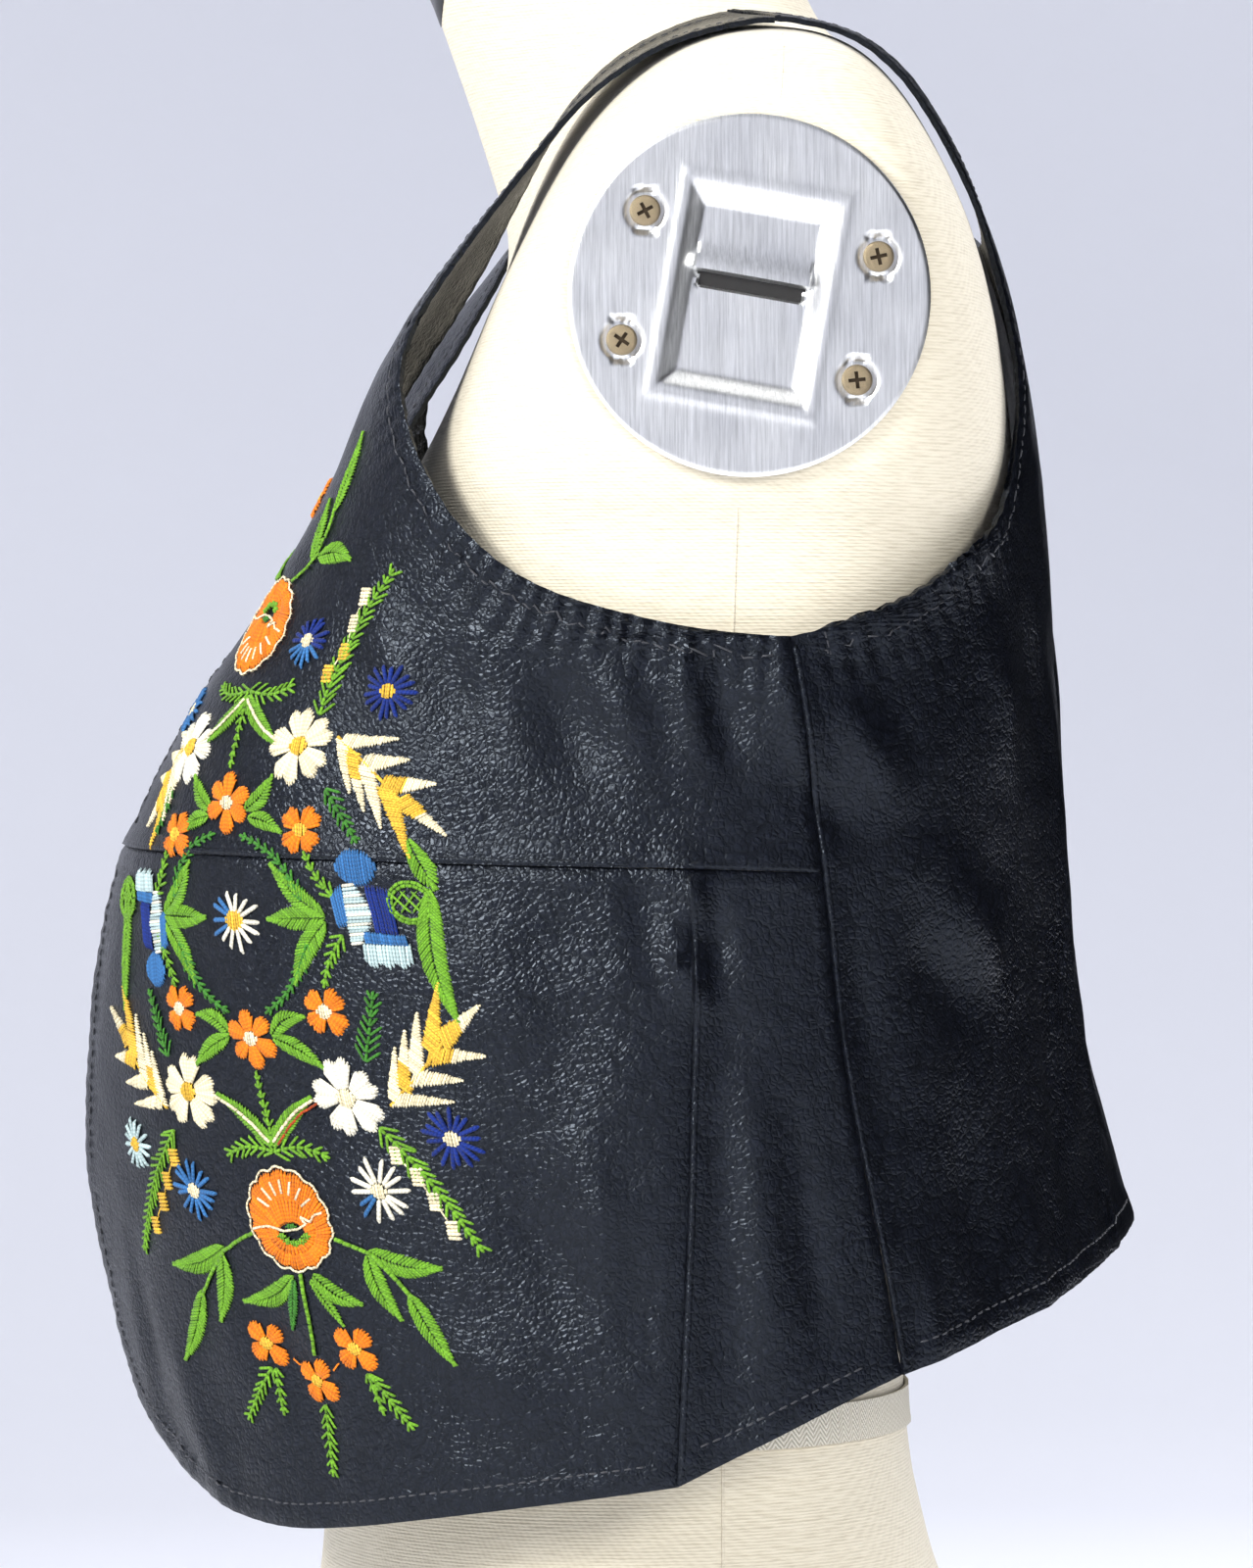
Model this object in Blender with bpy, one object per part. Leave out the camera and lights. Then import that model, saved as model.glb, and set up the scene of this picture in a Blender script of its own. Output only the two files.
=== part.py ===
"""Cropped leather vest, open at the front, worn on a countertop dress form.

Metres, +Z up, front towards -Y, the wearer's left towards +X. The origin is the
centre of the form's flat underside. The form and the vest are both lofted through
rings. A ring runs round the body: 0 degrees is the centre front, 90 degrees is the
wearer's left side and 180 degrees is the centre back. Over the shoulders a ring is
higher at the side than at the front and back, like the edge of a yoke.
"""

import math

import bmesh
import bpy
from mathutils import Matrix, Vector

# Driving dimensions of the vest
LEATHER = 0.0020
SEAM_GAP = 0.00034

# Driving dimensions of the dress form
BOARD_HEIGHT = 0.012
BOARD_INSET = 0.002
BOARD_ROUND = 0.002
BOARD_CENTRE_Y = 0.010
FIT_GAP = 0.0003
ARM_FLAT_X = 0.1635
ARM_FLAT_EDGE = 0.002
PLATE_RADIUS = 0.0490
PLATE_THICK = 0.0015
PLATE_Y = 0.033
PLATE_Z = 0.521
TAPE_LOW = 0.2055
TAPE_HIGH = 0.2165
TAPE_THICK = 0.0010
TAPE_GAP = 0.0008
CAP_THICK = 0.009
CAP_ROUND = 0.0025
CAP_MARGIN = 0.0012

# Rings of the form from the base up to the neck top. Columns:
# side_x, side_y, side_z: where the ring crosses the wearer's left side
# front_y, front_z, back_y, back_z: where it crosses the centre front and the centre back
# hollow: how far the centre front is set back between the shoulders
# full: 2 is an ellipse, more is boxier
FORM_COLUMNS = ("side_x", "side_y", "side_z", "front_y", "front_z", "back_y", "back_z", "hollow", "full")
FORM_RINGS = (
    (0.160, 0.010, 0.0123, -0.102, 0.0123, 0.122, 0.0123, 0.000, 2.15),
    (0.163, 0.012, 0.050, -0.104, 0.050, 0.128, 0.050, 0.000, 2.15),
    (0.153, 0.007, 0.105, -0.098, 0.105, 0.114, 0.105, 0.000, 2.15),
    (0.132, 0.001, 0.160, -0.089, 0.160, 0.091, 0.160, 0.000, 2.15),
    (0.1225, -0.002, 0.205, -0.087, 0.205, 0.081, 0.205, 0.000, 2.15),
    (0.125, -0.001, 0.245, -0.093, 0.245, 0.082, 0.245, 0.000, 2.15),
    (0.132, 0.004, 0.300, -0.114, 0.300, 0.092, 0.300, 0.000, 2.20),
    (0.139, 0.011, 0.350, -0.132, 0.350, 0.104, 0.350, 0.004, 2.30),
    (0.144, 0.019, 0.400, -0.120, 0.400, 0.110, 0.400, 0.006, 2.45),
    (0.147, 0.026, 0.437, -0.091, 0.437, 0.112, 0.437, 0.004, 2.55),
    (0.153, 0.031, 0.460, -0.075, 0.457, 0.112, 0.460, 0.002, 2.70),
    (0.167, 0.035, 0.478, -0.064, 0.472, 0.111, 0.478, 0.000, 3.05),
    (0.177, 0.036, 0.520, -0.050, 0.497, 0.106, 0.514, 0.000, 3.40),
    (0.176, 0.037, 0.555, -0.042, 0.515, 0.099, 0.542, 0.000, 3.20),
    (0.163, 0.039, 0.578, -0.037, 0.527, 0.091, 0.563, 0.000, 2.70),
    (0.142, 0.041, 0.5910, -0.035, 0.536, 0.083, 0.579, 0.000, 2.40),
    (0.117, 0.040, 0.5980, -0.034, 0.544, 0.075, 0.591, 0.000, 2.20),
    (0.091, 0.036, 0.6010, -0.035, 0.552, 0.067, 0.600, 0.000, 2.10),
    (0.070, 0.024, 0.6055, -0.0380, 0.562, 0.058, 0.607, 0.000, 2.00),
    (0.058, 0.006, 0.625, -0.046, 0.587, 0.047, 0.631, 0.000, 2.00),
    (0.0545, -0.012, 0.654, -0.062, 0.632, 0.036, 0.673, 0.000, 2.00),
)

# Rings of the vest's outer face from below the hem up to the neck. The columns are the form's.
VEST_RINGS = (
    (0.161, 0.032, 0.170, -0.134, 0.170, 0.160, 0.170, 0.000, 2.15),
    (0.162, 0.030, 0.210, -0.1435, 0.210, 0.154, 0.210, 0.000, 2.15),
    (0.162, 0.028, 0.250, -0.1525, 0.250, 0.146, 0.250, 0.000, 2.15),
    (0.161, 0.026, 0.290, -0.1575, 0.290, 0.137, 0.290, 0.000, 2.15),
    (0.159, 0.025, 0.330, -0.1570, 0.330, 0.130, 0.330, 0.003, 2.25),
    (0.157, 0.026, 0.370, -0.1520, 0.370, 0.1275, 0.370, 0.008, 2.40),
    (0.155, 0.030, 0.405, -0.1395, 0.405, 0.1255, 0.405, 0.016, 2.50),
    (0.156, 0.035, 0.440, -0.1175, 0.440, 0.1230, 0.440, 0.026, 2.60),
    (0.163, 0.039, 0.475, -0.0965, 0.475, 0.1185, 0.480, 0.040, 2.80),
    (0.168, 0.042, 0.510, -0.0830, 0.500, 0.1130, 0.518, 0.052, 2.95),
    (0.174, 0.042, 0.545, -0.0680, 0.520, 0.1035, 0.548, 0.044, 2.80),
    (0.168, 0.041, 0.571, -0.0540, 0.535, 0.0950, 0.569, 0.032, 2.50),
    (0.1430, 0.0415, 0.5940, -0.0430, 0.547, 0.0870, 0.584, 0.018, 2.30),
    (0.1175, 0.0405, 0.6009, -0.0390, 0.553, 0.0790, 0.5950, 0.008, 2.15),
    (0.0920, 0.0365, 0.6041, -0.0395, 0.562, 0.0710, 0.6035, 0.002, 2.05),
    (0.0720, 0.0245, 0.6090, -0.0430, 0.573, 0.0620, 0.6105, 0.000, 2.00),
    (0.0605, 0.0065, 0.6280, -0.0500, 0.592, 0.0510, 0.6350, 0.000, 2.00),
)

HOLLOW_REACH = 0.060


def read_rings(rows, number):
    """All columns of a ring table at a ring number, eased between its rows."""
    last = len(rows) - 1
    number = min(max(number, 0.0), float(last))
    low = min(int(number), last - 1)
    part = number - low
    before = rows[max(low - 1, 0)]
    start = rows[low]
    end = rows[low + 1]
    after = rows[min(low + 2, last)]
    values = {}
    for name, p0, p1, p2, p3 in zip(FORM_COLUMNS, before, start, end, after):
        rise = 0.5 * (p2 - p0)
        fall = 0.5 * (p3 - p1)
        gap = p1 - p2
        values[name] = p1 + part * (rise + part * (-3 * gap - 2 * rise - fall + part * (2 * gap + rise + fall)))
    return values


def ring_point(rows, number, degrees, flat_x=None):
    """The point of a ring at an angle, with the arm's flat side where flat_x is given."""
    ring = read_rings(rows, number)
    turn = math.radians(degrees)
    side = abs(math.sin(turn))
    ahead = abs(math.cos(turn))
    power = 2.0 / ring["full"]
    end = "front" if math.cos(turn) >= 0 else "back"
    x = ring["side_x"] * side ** power
    y = ring["side_y"] + (ring[end + "_y"] - ring["side_y"]) * ahead ** power
    z = ring["side_z"] + (ring[end + "_z"] - ring["side_z"]) * ahead ** 2
    if end == "front":
        y += ring["hollow"] * math.exp(-(x / HOLLOW_REACH) ** 2) * ahead
    if flat_x is not None:
        x = -ARM_FLAT_EDGE * math.log(math.exp(-x / ARM_FLAT_EDGE) + math.exp(-flat_x / ARM_FLAT_EDGE))
    return Vector((math.copysign(x, math.sin(turn)), y, z))


def ring_normal(rows, number, degrees, flat_x=None):
    """Unit normal of the surface, pointing away from the body."""
    along = ring_point(rows, number, degrees + 0.25, flat_x) - ring_point(rows, number, degrees - 0.25, flat_x)
    up = ring_point(rows, number + 0.02, degrees, flat_x) - ring_point(rows, number - 0.02, degrees, flat_x)
    return along.cross(up).normalized()


def ring_at_height(rows, height):
    """Ring number whose side lies at a height, on the part of the table that rises steadily."""
    low = 0.0
    high = float(len(rows) - 1)
    for _ in range(40):
        middle = 0.5 * (low + high)
        if read_rings(rows, middle)["side_z"] < height:
            low = middle
        else:
            high = middle
    return 0.5 * (low + high)


def new_material(name, colour, roughness, metallic=0.0):
    """A plain finish for a sub-part."""
    material = bpy.data.materials.new(name)
    material.use_nodes = True
    shader = material.node_tree.nodes["Principled BSDF"]
    shader.inputs["Base Color"].default_value = (*colour, 1.0)
    shader.inputs["Roughness"].default_value = roughness
    shader.inputs["Metallic"].default_value = metallic
    return material


def new_object(name, mesh_builder, material):
    """Link one named object whose bmesh is closed and faces out."""
    bmesh.ops.recalc_face_normals(mesh_builder, faces=mesh_builder.faces)
    if mesh_builder.calc_volume(signed=True) < 0:
        bmesh.ops.reverse_faces(mesh_builder, faces=mesh_builder.faces)
    mesh = bpy.data.meshes.new(name)
    mesh_builder.to_mesh(mesh)
    mesh_builder.free()
    mesh.shade_smooth()
    mesh.set_sharp_from_angle(angle=math.radians(40))
    if material:
        mesh.materials.append(material)
    piece = bpy.data.objects.new(name, mesh)
    bpy.context.collection.objects.link(piece)
    return piece


def cut_away(piece, cutter):
    """Cut one object out of another and hide the cutter."""
    cutter.hide_render = True
    cutter.display_type = "WIRE"
    change = piece.modifiers.new("cut_" + cutter.name, "BOOLEAN")
    change.operation = "DIFFERENCE"
    change.solver = "EXACT"
    change.object = cutter


def loft_bmesh(loops):
    """A closed body through closed loops of points, capped at both ends."""
    builder = bmesh.new()
    rings = [[builder.verts.new(point) for point in loop] for loop in loops]
    count = len(rings[0])
    for lower, upper in zip(rings, rings[1:]):
        for i in range(count):
            j = (i + 1) % count
            builder.faces.new((lower[i], lower[j], upper[j], upper[i]))
    builder.faces.new(rings[0])
    builder.faces.new(rings[-1])
    return builder


def wall_bmesh(outer, inner):
    """A closed wall from two matching grids of points, rows by columns."""
    builder = bmesh.new()
    row_count = len(outer)
    column_count = len(outer[0])
    faces = []
    for grid in (outer, inner):
        faces.append([[builder.verts.new(point) for point in row] for row in grid])
    out, within = faces
    for r in range(row_count - 1):
        for c in range(column_count - 1):
            builder.faces.new((out[r][c], out[r][c + 1], out[r + 1][c + 1], out[r + 1][c]))
            builder.faces.new((within[r][c], within[r + 1][c], within[r + 1][c + 1], within[r][c + 1]))
    rim = [(0, c) for c in range(column_count)]
    rim += [(r, column_count - 1) for r in range(1, row_count)]
    rim += [(row_count - 1, c) for c in range(column_count - 2, -1, -1)]
    rim += [(r, 0) for r in range(row_count - 2, 0, -1)]
    for (r0, c0), (r1, c1) in zip(rim, rim[1:] + rim[:1]):
        builder.faces.new((out[r0][c0], within[r0][c0], within[r1][c1], out[r1][c1]))
    return builder


# Dress form: torso with shoulders and neck, in one linen cover
FORM_TURNS = 48
FORM_ROWS = 38
NECK_TOP_SLOPE = -0.42


def form_loop(number, outward=0.0):
    """Points of the form round one ring, moved out along the normal."""
    loop = []
    for step in range(FORM_TURNS):
        degrees = 360.0 * step / FORM_TURNS
        point = ring_point(FORM_RINGS, number, degrees, ARM_FLAT_X)
        if outward:
            point += ring_normal(FORM_RINGS, number, degrees, ARM_FLAT_X) * outward
        loop.append(point)
    return loop


def make_form(linen):
    """The torso, flat at the base and planed off at a slope on top of the neck."""
    last = len(FORM_RINGS) - 1
    loops = [form_loop(last * row / FORM_ROWS) for row in range(FORM_ROWS + 1)]
    top = read_rings(FORM_RINGS, last)
    for point in loops[-1]:
        point.z = top["side_z"] - NECK_TOP_SLOPE * (point.y - top["side_y"])
    return new_object("form_torso", loft_bmesh(loops), linen)


def make_neck_cap(black):
    """A thin cap on the planed neck, a little wider than the neck and rounded at its edge."""
    last = len(FORM_RINGS) - 1
    top = read_rings(FORM_RINGS, last)
    lean = Vector((0.0, NECK_TOP_SLOPE, 1.0)).normalized()
    loops = []
    rounded = CAP_MARGIN - CAP_ROUND
    profile = ((FIT_GAP, rounded), (CAP_ROUND, CAP_MARGIN), (CAP_THICK - CAP_ROUND, CAP_MARGIN), (CAP_THICK, rounded))
    for lift, margin in profile:
        loop = []
        for step in range(FORM_TURNS):
            turn = math.radians(360.0 * step / FORM_TURNS)
            x = (top["side_x"] + margin) * math.sin(turn)
            end = "front_y" if math.cos(turn) >= 0 else "back_y"
            half = abs(top[end] - top["side_y"]) + margin
            y = top["side_y"] - half * math.cos(turn)
            z = top["side_z"] - NECK_TOP_SLOPE * (y - top["side_y"])
            loop.append(Vector((x, y, z)) + lean * lift)
        loops.append(loop)
    return new_object("form_neck_cap", loft_bmesh(loops), black)


def make_base_board(wood):
    """The flat board that closes the form and stands on the table."""
    loops = []
    for height, inset in ((0.0, BOARD_INSET + BOARD_ROUND), (BOARD_ROUND, BOARD_INSET), (BOARD_HEIGHT, BOARD_INSET)):
        loop = []
        for point in form_loop(0.0):
            flat = Vector((point.x, point.y - BOARD_CENTRE_Y, 0.0))
            flat -= flat.normalized() * inset
            loop.append(Vector((flat.x, flat.y + BOARD_CENTRE_Y, height)))
        loops.append(loop)
    return new_object("form_base_board", loft_bmesh(loops), wood)


def make_waist_tape(cotton):
    """The woven tape sewn round the waist of the cover."""
    heights = [TAPE_LOW, 0.5 * (TAPE_LOW + TAPE_HIGH), TAPE_HIGH]
    numbers = [ring_at_height(FORM_RINGS, height) for height in heights]
    outer = [form_loop(number, TAPE_GAP + TAPE_THICK) for number in numbers]
    inner = [form_loop(number, TAPE_GAP) for number in numbers]
    builder = bmesh.new()
    skins = []
    for loops in (outer, inner):
        skins.append([[builder.verts.new(point) for point in loop] for loop in loops])
    out, within = skins
    top = len(heights) - 1
    for i in range(FORM_TURNS):
        j = (i + 1) % FORM_TURNS
        for r in range(top):
            builder.faces.new((out[r][i], out[r][j], out[r + 1][j], out[r + 1][i]))
            builder.faces.new((within[r][j], within[r][i], within[r + 1][i], within[r + 1][j]))
        builder.faces.new((within[0][i], within[0][j], out[0][j], out[0][i]))
        builder.faces.new((out[top][i], out[top][j], within[top][j], within[top][i]))
    return new_object("form_waist_tape", builder, cotton)


# Arm plates: stamped discs with a tapered socket pressed in, held by four screws
SOCKET_MOUTH = (0.0405, 0.0555)
SOCKET_FLOOR = (0.0315, 0.0450)
SOCKET_DEPTH = 0.0038
SOCKET_TURN = 10.0
POCKET_ROOM = 0.0006
CUT_OVER = 0.002
PAN_BITE = 0.0005
SCREW_RADIUS = 0.0043
SCREW_HEAD = 0.0014
SCREW_PLACES = ((-0.0280, 0.0227), (0.0348, 0.0103), (-0.0343, -0.0121), (0.0290, -0.0229))
PLATE_BACK_X = ARM_FLAT_X + FIT_GAP
PLATE_FACE_X = PLATE_BACK_X + PLATE_THICK


def tapered_block(name, mouth, floor, outer_x, inner_x, sign):
    """A block that narrows from its mouth inwards, turned like the socket."""
    builder = bmesh.new()
    bmesh.ops.create_cube(builder, size=1.0)
    lean = Matrix.Rotation(math.radians(-SOCKET_TURN), 3, "X")
    for vertex in builder.verts:
        size, x = (mouth, outer_x) if vertex.co.x > 0 else (floor, inner_x)
        spot = lean @ Vector((0.0, math.copysign(0.5 * size[0], vertex.co.y), math.copysign(0.5 * size[1], vertex.co.z)))
        vertex.co = Vector((sign * x, PLATE_Y + spot.y, PLATE_Z + spot.z))
    return new_object(name, builder, None)


def widened(size, extra):
    """A width and height, each made larger."""
    return (size[0] + extra, size[1] + extra)


def make_arm_plate(side_name, sign, steel, form):
    """One plate, its socket pressed through into a pocket of the form."""
    builder = bmesh.new()
    bmesh.ops.create_cone(
        builder, cap_ends=True, segments=48, radius1=PLATE_RADIUS, radius2=PLATE_RADIUS - 0.0004, depth=PLATE_THICK
    )
    turn = Matrix.Rotation(math.radians(90.0 * sign), 4, "Y")
    place = Matrix.Translation((sign * (PLATE_BACK_X + 0.5 * PLATE_THICK), PLATE_Y, PLATE_Z))
    bmesh.ops.transform(builder, matrix=place @ turn, verts=builder.verts)
    plate = new_object("form_arm_plate_" + side_name, builder, steel)
    floor_x = PLATE_FACE_X - SOCKET_DEPTH
    pan = tapered_block(
        "pan_" + side_name, widened(SOCKET_MOUTH, 2 * PLATE_THICK), widened(SOCKET_FLOOR, 2 * PLATE_THICK),
        PLATE_BACK_X + PAN_BITE, floor_x - PLATE_THICK, sign,
    )
    pan.hide_render = True
    pan.display_type = "WIRE"
    joined = plate.modifiers.new("join_pan", "BOOLEAN")
    joined.operation = "UNION"
    joined.solver = "EXACT"
    joined.object = pan
    widen = CUT_OVER * (SOCKET_MOUTH[0] - SOCKET_FLOOR[0]) / SOCKET_DEPTH
    socket_mouth = widened(SOCKET_MOUTH, widen)
    hollow = tapered_block("socket_" + side_name, socket_mouth, SOCKET_FLOOR, PLATE_FACE_X + CUT_OVER, floor_x, sign)
    cut_away(plate, hollow)
    room = 2 * (PLATE_THICK + POCKET_ROOM) + CUT_OVER
    pocket = tapered_block(
        "pocket_" + side_name, widened(SOCKET_MOUTH, room), widened(SOCKET_FLOOR, room),
        ARM_FLAT_X + CUT_OVER, floor_x - PLATE_THICK - POCKET_ROOM, sign,
    )
    cut_away(form, pocket)


def make_screws(side_name, sign, brass):
    """Four low round screw heads on a plate."""
    for number, (ahead, up) in enumerate(SCREW_PLACES, start=1):
        builder = bmesh.new()
        bmesh.ops.create_cone(
            builder, cap_ends=True, segments=16, radius1=SCREW_RADIUS, radius2=SCREW_RADIUS * 0.7, depth=SCREW_HEAD
        )
        turn = Matrix.Rotation(math.radians(90.0 * sign), 4, "Y")
        centre = (sign * (PLATE_FACE_X + FIT_GAP + 0.5 * SCREW_HEAD), PLATE_Y + ahead, PLATE_Z + up)
        bmesh.ops.transform(builder, matrix=Matrix.Translation(centre) @ turn, verts=builder.verts)
        new_object("form_screw_{}_{}".format(side_name, number), builder, brass)


# Vest pieces: each is a patch of the vest's surface between four edge curves.
# A curve's rows are turn in degrees and ring number.
HEM = (
    (10.0, 1.50), (14.0, 1.22), (18.2, 0.95), (27.5, 0.66), (35.9, 0.46), (45.0, 0.42), (59.7, 0.53), (72.9, 0.65),
    (85.3, 0.77), (91.2, 0.99), (98.0, 1.20), (105.9, 1.39), (110.5, 1.49), (123.1, 1.70), (142.6, 1.98), (165.0, 2.22),
    (180.0, 2.30),
)
CORNER_TURN = 16.0
FRONT_EDGE = (
    (16.0, 1.09), (12.3, 1.48), (10.6, 1.95), (10.0, 2.50), (10.0, 3.05), (10.0, 3.55), (10.0, 4.05), (10.0, 4.55), (10.0, 5.06),
)
DART_SEAM = (
    (85.3, 0.77), (86.0, 1.30), (86.7, 1.85), (87.3, 2.40), (87.8, 2.95), (88.2, 3.45), (88.6, 3.95), (88.7, 4.45), (88.1, 4.90),
)
SIDE_SEAM = (
    (110.5, 1.49), (110.1, 1.90), (109.5, 2.35), (108.7, 2.80), (107.6, 3.25), (106.4, 3.70), (105.2, 4.10), (103.9, 4.50),
    (102.2, 4.88), (99.6, 5.50), (96.6, 6.15), (93.7, 6.70),
)
BUST_RING = 4.88
# Matching rows of the upper front: neckline, then side seam and armhole. The first rows end on the side seam.
FRONT_SIDE_ROWS = 3
FRONT_NECK = (
    (10.0, 5.06), (10.4, 5.55), (11.0, 6.00), (11.6, 6.35), (12.2, 6.70), (12.7, 7.05), (13.1, 7.40), (13.4, 7.80),
    (13.5, 8.25), (13.4, 8.75), (13.0, 9.40), (12.9, 10.1), (16.7, 11.0), (23.5, 11.9), (32.5, 12.8), (44.0, 13.6),
    (62.0, 14.3), (90.0, 14.75),
)
FRONT_ARMHOLE = (
    (93.7, 6.70), (88.6, 6.73), (82.0, 6.87), (74.0, 7.05), (66.0, 7.34), (56.5, 7.80), (47.5, 8.34), (40.5, 8.90),
    (36.5, 9.60), (37.0, 10.6), (42.5, 11.5), (51.5, 12.15), (63.0, 12.53), (76.0, 12.75), (90.0, 12.85),
)
# Matching rows of the back: side seam and armhole, then centre back and neckline
BACK_SIDE_ROWS = 7
BACK_ARMHOLE = (
    (93.7, 6.70), (102.0, 6.82), (110.5, 6.96), (119.5, 7.16), (128.0, 7.38), (136.0, 7.61), (144.0, 7.95), (151.5, 8.50),
    (155.0, 9.30), (154.0, 10.1), (146.5, 11.1), (133.0, 12.0), (113.0, 12.6), (90.0, 12.85),
)
BACK_NECK = (
    (180.0, 2.30), (180.0, 2.95), (180.0, 3.60), (180.0, 4.20), (180.0, 4.80), (180.0, 5.35), (180.0, 5.90), (180.0, 6.40),
    (180.0, 6.90), (180.0, 7.40), (180.0, 7.90), (180.0, 8.40), (180.0, 8.90), (180.0, 9.40), (180.0, 9.90), (173.0, 10.15),
    (164.0, 10.7), (151.0, 11.7), (136.0, 12.85), (116.0, 14.05), (90.0, 14.75),
)
# Largest folds: turn, ring, spread in degrees, spread in rings, height
FOLDS = (
    (180.0, 1.6, 9.0, 1.5, 0.006),
    (91.0, 4.45, 3.0, 0.8, 0.0035),
)


def ease(points, part):
    """A smooth curve through rows of turn and ring, at a part from 0 to 1 of its rows."""
    spot = part * (len(points) - 1)
    low = min(int(spot), len(points) - 2)
    part = spot - low
    result = []
    for p0, p1, p2, p3 in zip(points[max(low - 1, 0)], points[low], points[low + 1], points[min(low + 2, len(points) - 1)]):
        rise = 0.5 * (p2 - p0)
        fall = 0.5 * (p3 - p1)
        gap = p1 - p2
        result.append(p1 + part * (rise + part * (-3 * gap - 2 * rise - fall + part * (2 * gap + rise + fall))))
    return result


def hem_curve(start_turn, end_turn):
    """The hem between two angles, as a function of the part from 0 to 1."""
    def at(part):
        turn = start_turn + (end_turn - start_turn) * part
        low = 0
        while low < len(HEM) - 2 and HEM[low + 1][0] < turn:
            low += 1
        share = (turn - HEM[low][0]) / (HEM[low + 1][0] - HEM[low][0])
        return (turn, ease(HEM, (low + share) / (len(HEM) - 1))[1])
    return at


def line_curve(start, end):
    """A straight line in turn and ring."""
    return lambda part: [a + (b - a) * part for a, b in zip(start, end)]


def table_curve(points):
    """A table as a function of the part from 0 to 1."""
    return lambda part: ease(points, part)


def side_seam(start_ring, end_ring):
    """The side seam between two rings, as a function of the part from 0 to 1."""
    def at(part):
        ring = start_ring + (end_ring - start_ring) * part
        low = 0
        while low < len(SIDE_SEAM) - 2 and SIDE_SEAM[low + 1][1] < ring:
            low += 1
        share = (ring - SIDE_SEAM[low][1]) / (SIDE_SEAM[low + 1][1] - SIDE_SEAM[low][1])
        return (ease(SIDE_SEAM, (low + share) / (len(SIDE_SEAM) - 1))[0], ring)
    return at


def cornered(first, second, share):
    """Two curves end to end, with a corner at a share of the rows."""
    return lambda part: first(part / share) if part < share else second((part - share) / (1 - share))


def vest_point(turn, ring):
    """The vest's outer face, with its largest folds."""
    point = ring_point(VEST_RINGS, ring, turn)
    lift = 0.0
    for fold_turn, fold_ring, turn_spread, ring_spread, height in FOLDS:
        lift += height * math.exp(-((turn - fold_turn) / turn_spread) ** 2 - ((ring - fold_ring) / ring_spread) ** 2)
    return point + ring_normal(VEST_RINGS, ring, turn) * lift


def vest_normal(turn, ring):
    """Unit normal of the vest's outer face."""
    along = vest_point(turn + 0.25, ring) - vest_point(turn - 0.25, ring)
    up = vest_point(turn, ring + 0.02) - vest_point(turn, ring - 0.02)
    return along.cross(up).normalized()


def patch_grid(bottom, top, left, right, column_parts, row_parts):
    """Turn and ring of each grid point, blended between the four edge curves."""
    grid = []
    for v in row_parts:
        row = []
        for u in column_parts:
            point = []
            for axis in (0, 1):
                value = (1 - v) * bottom(u)[axis] + v * top(u)[axis] + (1 - u) * left(v)[axis] + u * right(v)[axis]
                value -= (1 - u) * (1 - v) * bottom(0)[axis] + u * (1 - v) * bottom(1)[axis]
                value -= (1 - u) * v * top(0)[axis] + u * v * top(1)[axis]
                point.append(value)
            row.append((min(point[0], 180.0), point[1]))
        grid.append(row)
    return grid


def pull_in(points, seams):
    """Draw the rows and columns that lie on seams back by half the seam gap."""
    half = 0.5 * SEAM_GAP
    rows = len(points)
    columns = len(points[0])
    moved = [[point.copy() for point in row] for row in points]
    for r in range(rows):
        if "left" in seams:
            moved[r][0] += (points[r][1] - points[r][0]).normalized() * half
        if "right" in seams:
            moved[r][-1] += (points[r][-2] - points[r][-1]).normalized() * half
    for c in range(columns):
        if "bottom" in seams:
            moved[0][c] += (points[1][c] - points[0][c]).normalized() * half
        if "top" in seams:
            moved[-1][c] += (points[-2][c] - points[-1][c]).normalized() * half
    return moved


def make_panel(name, grid, seams, leather, mirror):
    """One leather piece: its outer face, and its inner face a wall's thickness inside."""
    outer = pull_in([[vest_point(turn, ring) for turn, ring in row] for row in grid], seams)
    inner = []
    for row, place_row in zip(outer, grid):
        inner.append([point - vest_normal(turn, ring) * LEATHER for point, (turn, ring) in zip(row, place_row)])
    if mirror:
        for row in outer + inner:
            for point in row:
                point.x = -point.x
    return new_object(name, wall_bmesh(outer, inner), leather)


FRONT_COLUMNS = 9
SIDE_COLUMNS = 3
BACK_COLUMNS = 10
LOW_ROWS = 12
FRONT_MESH_ROWS = (4, 24)
BACK_MESH_ROWS = (11, 20)


def even(count):
    """Parts from 0 to 1 in equal steps."""
    return [step / count for step in range(count + 1)]


def split_parts(share, counts):
    """Parts from 0 to 1 with one count of steps below a share and another above it."""
    low = [share * part for part in even(counts[0])]
    high = [share + (1 - share) * part for part in even(counts[1])]
    return low + high[1:]


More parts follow.
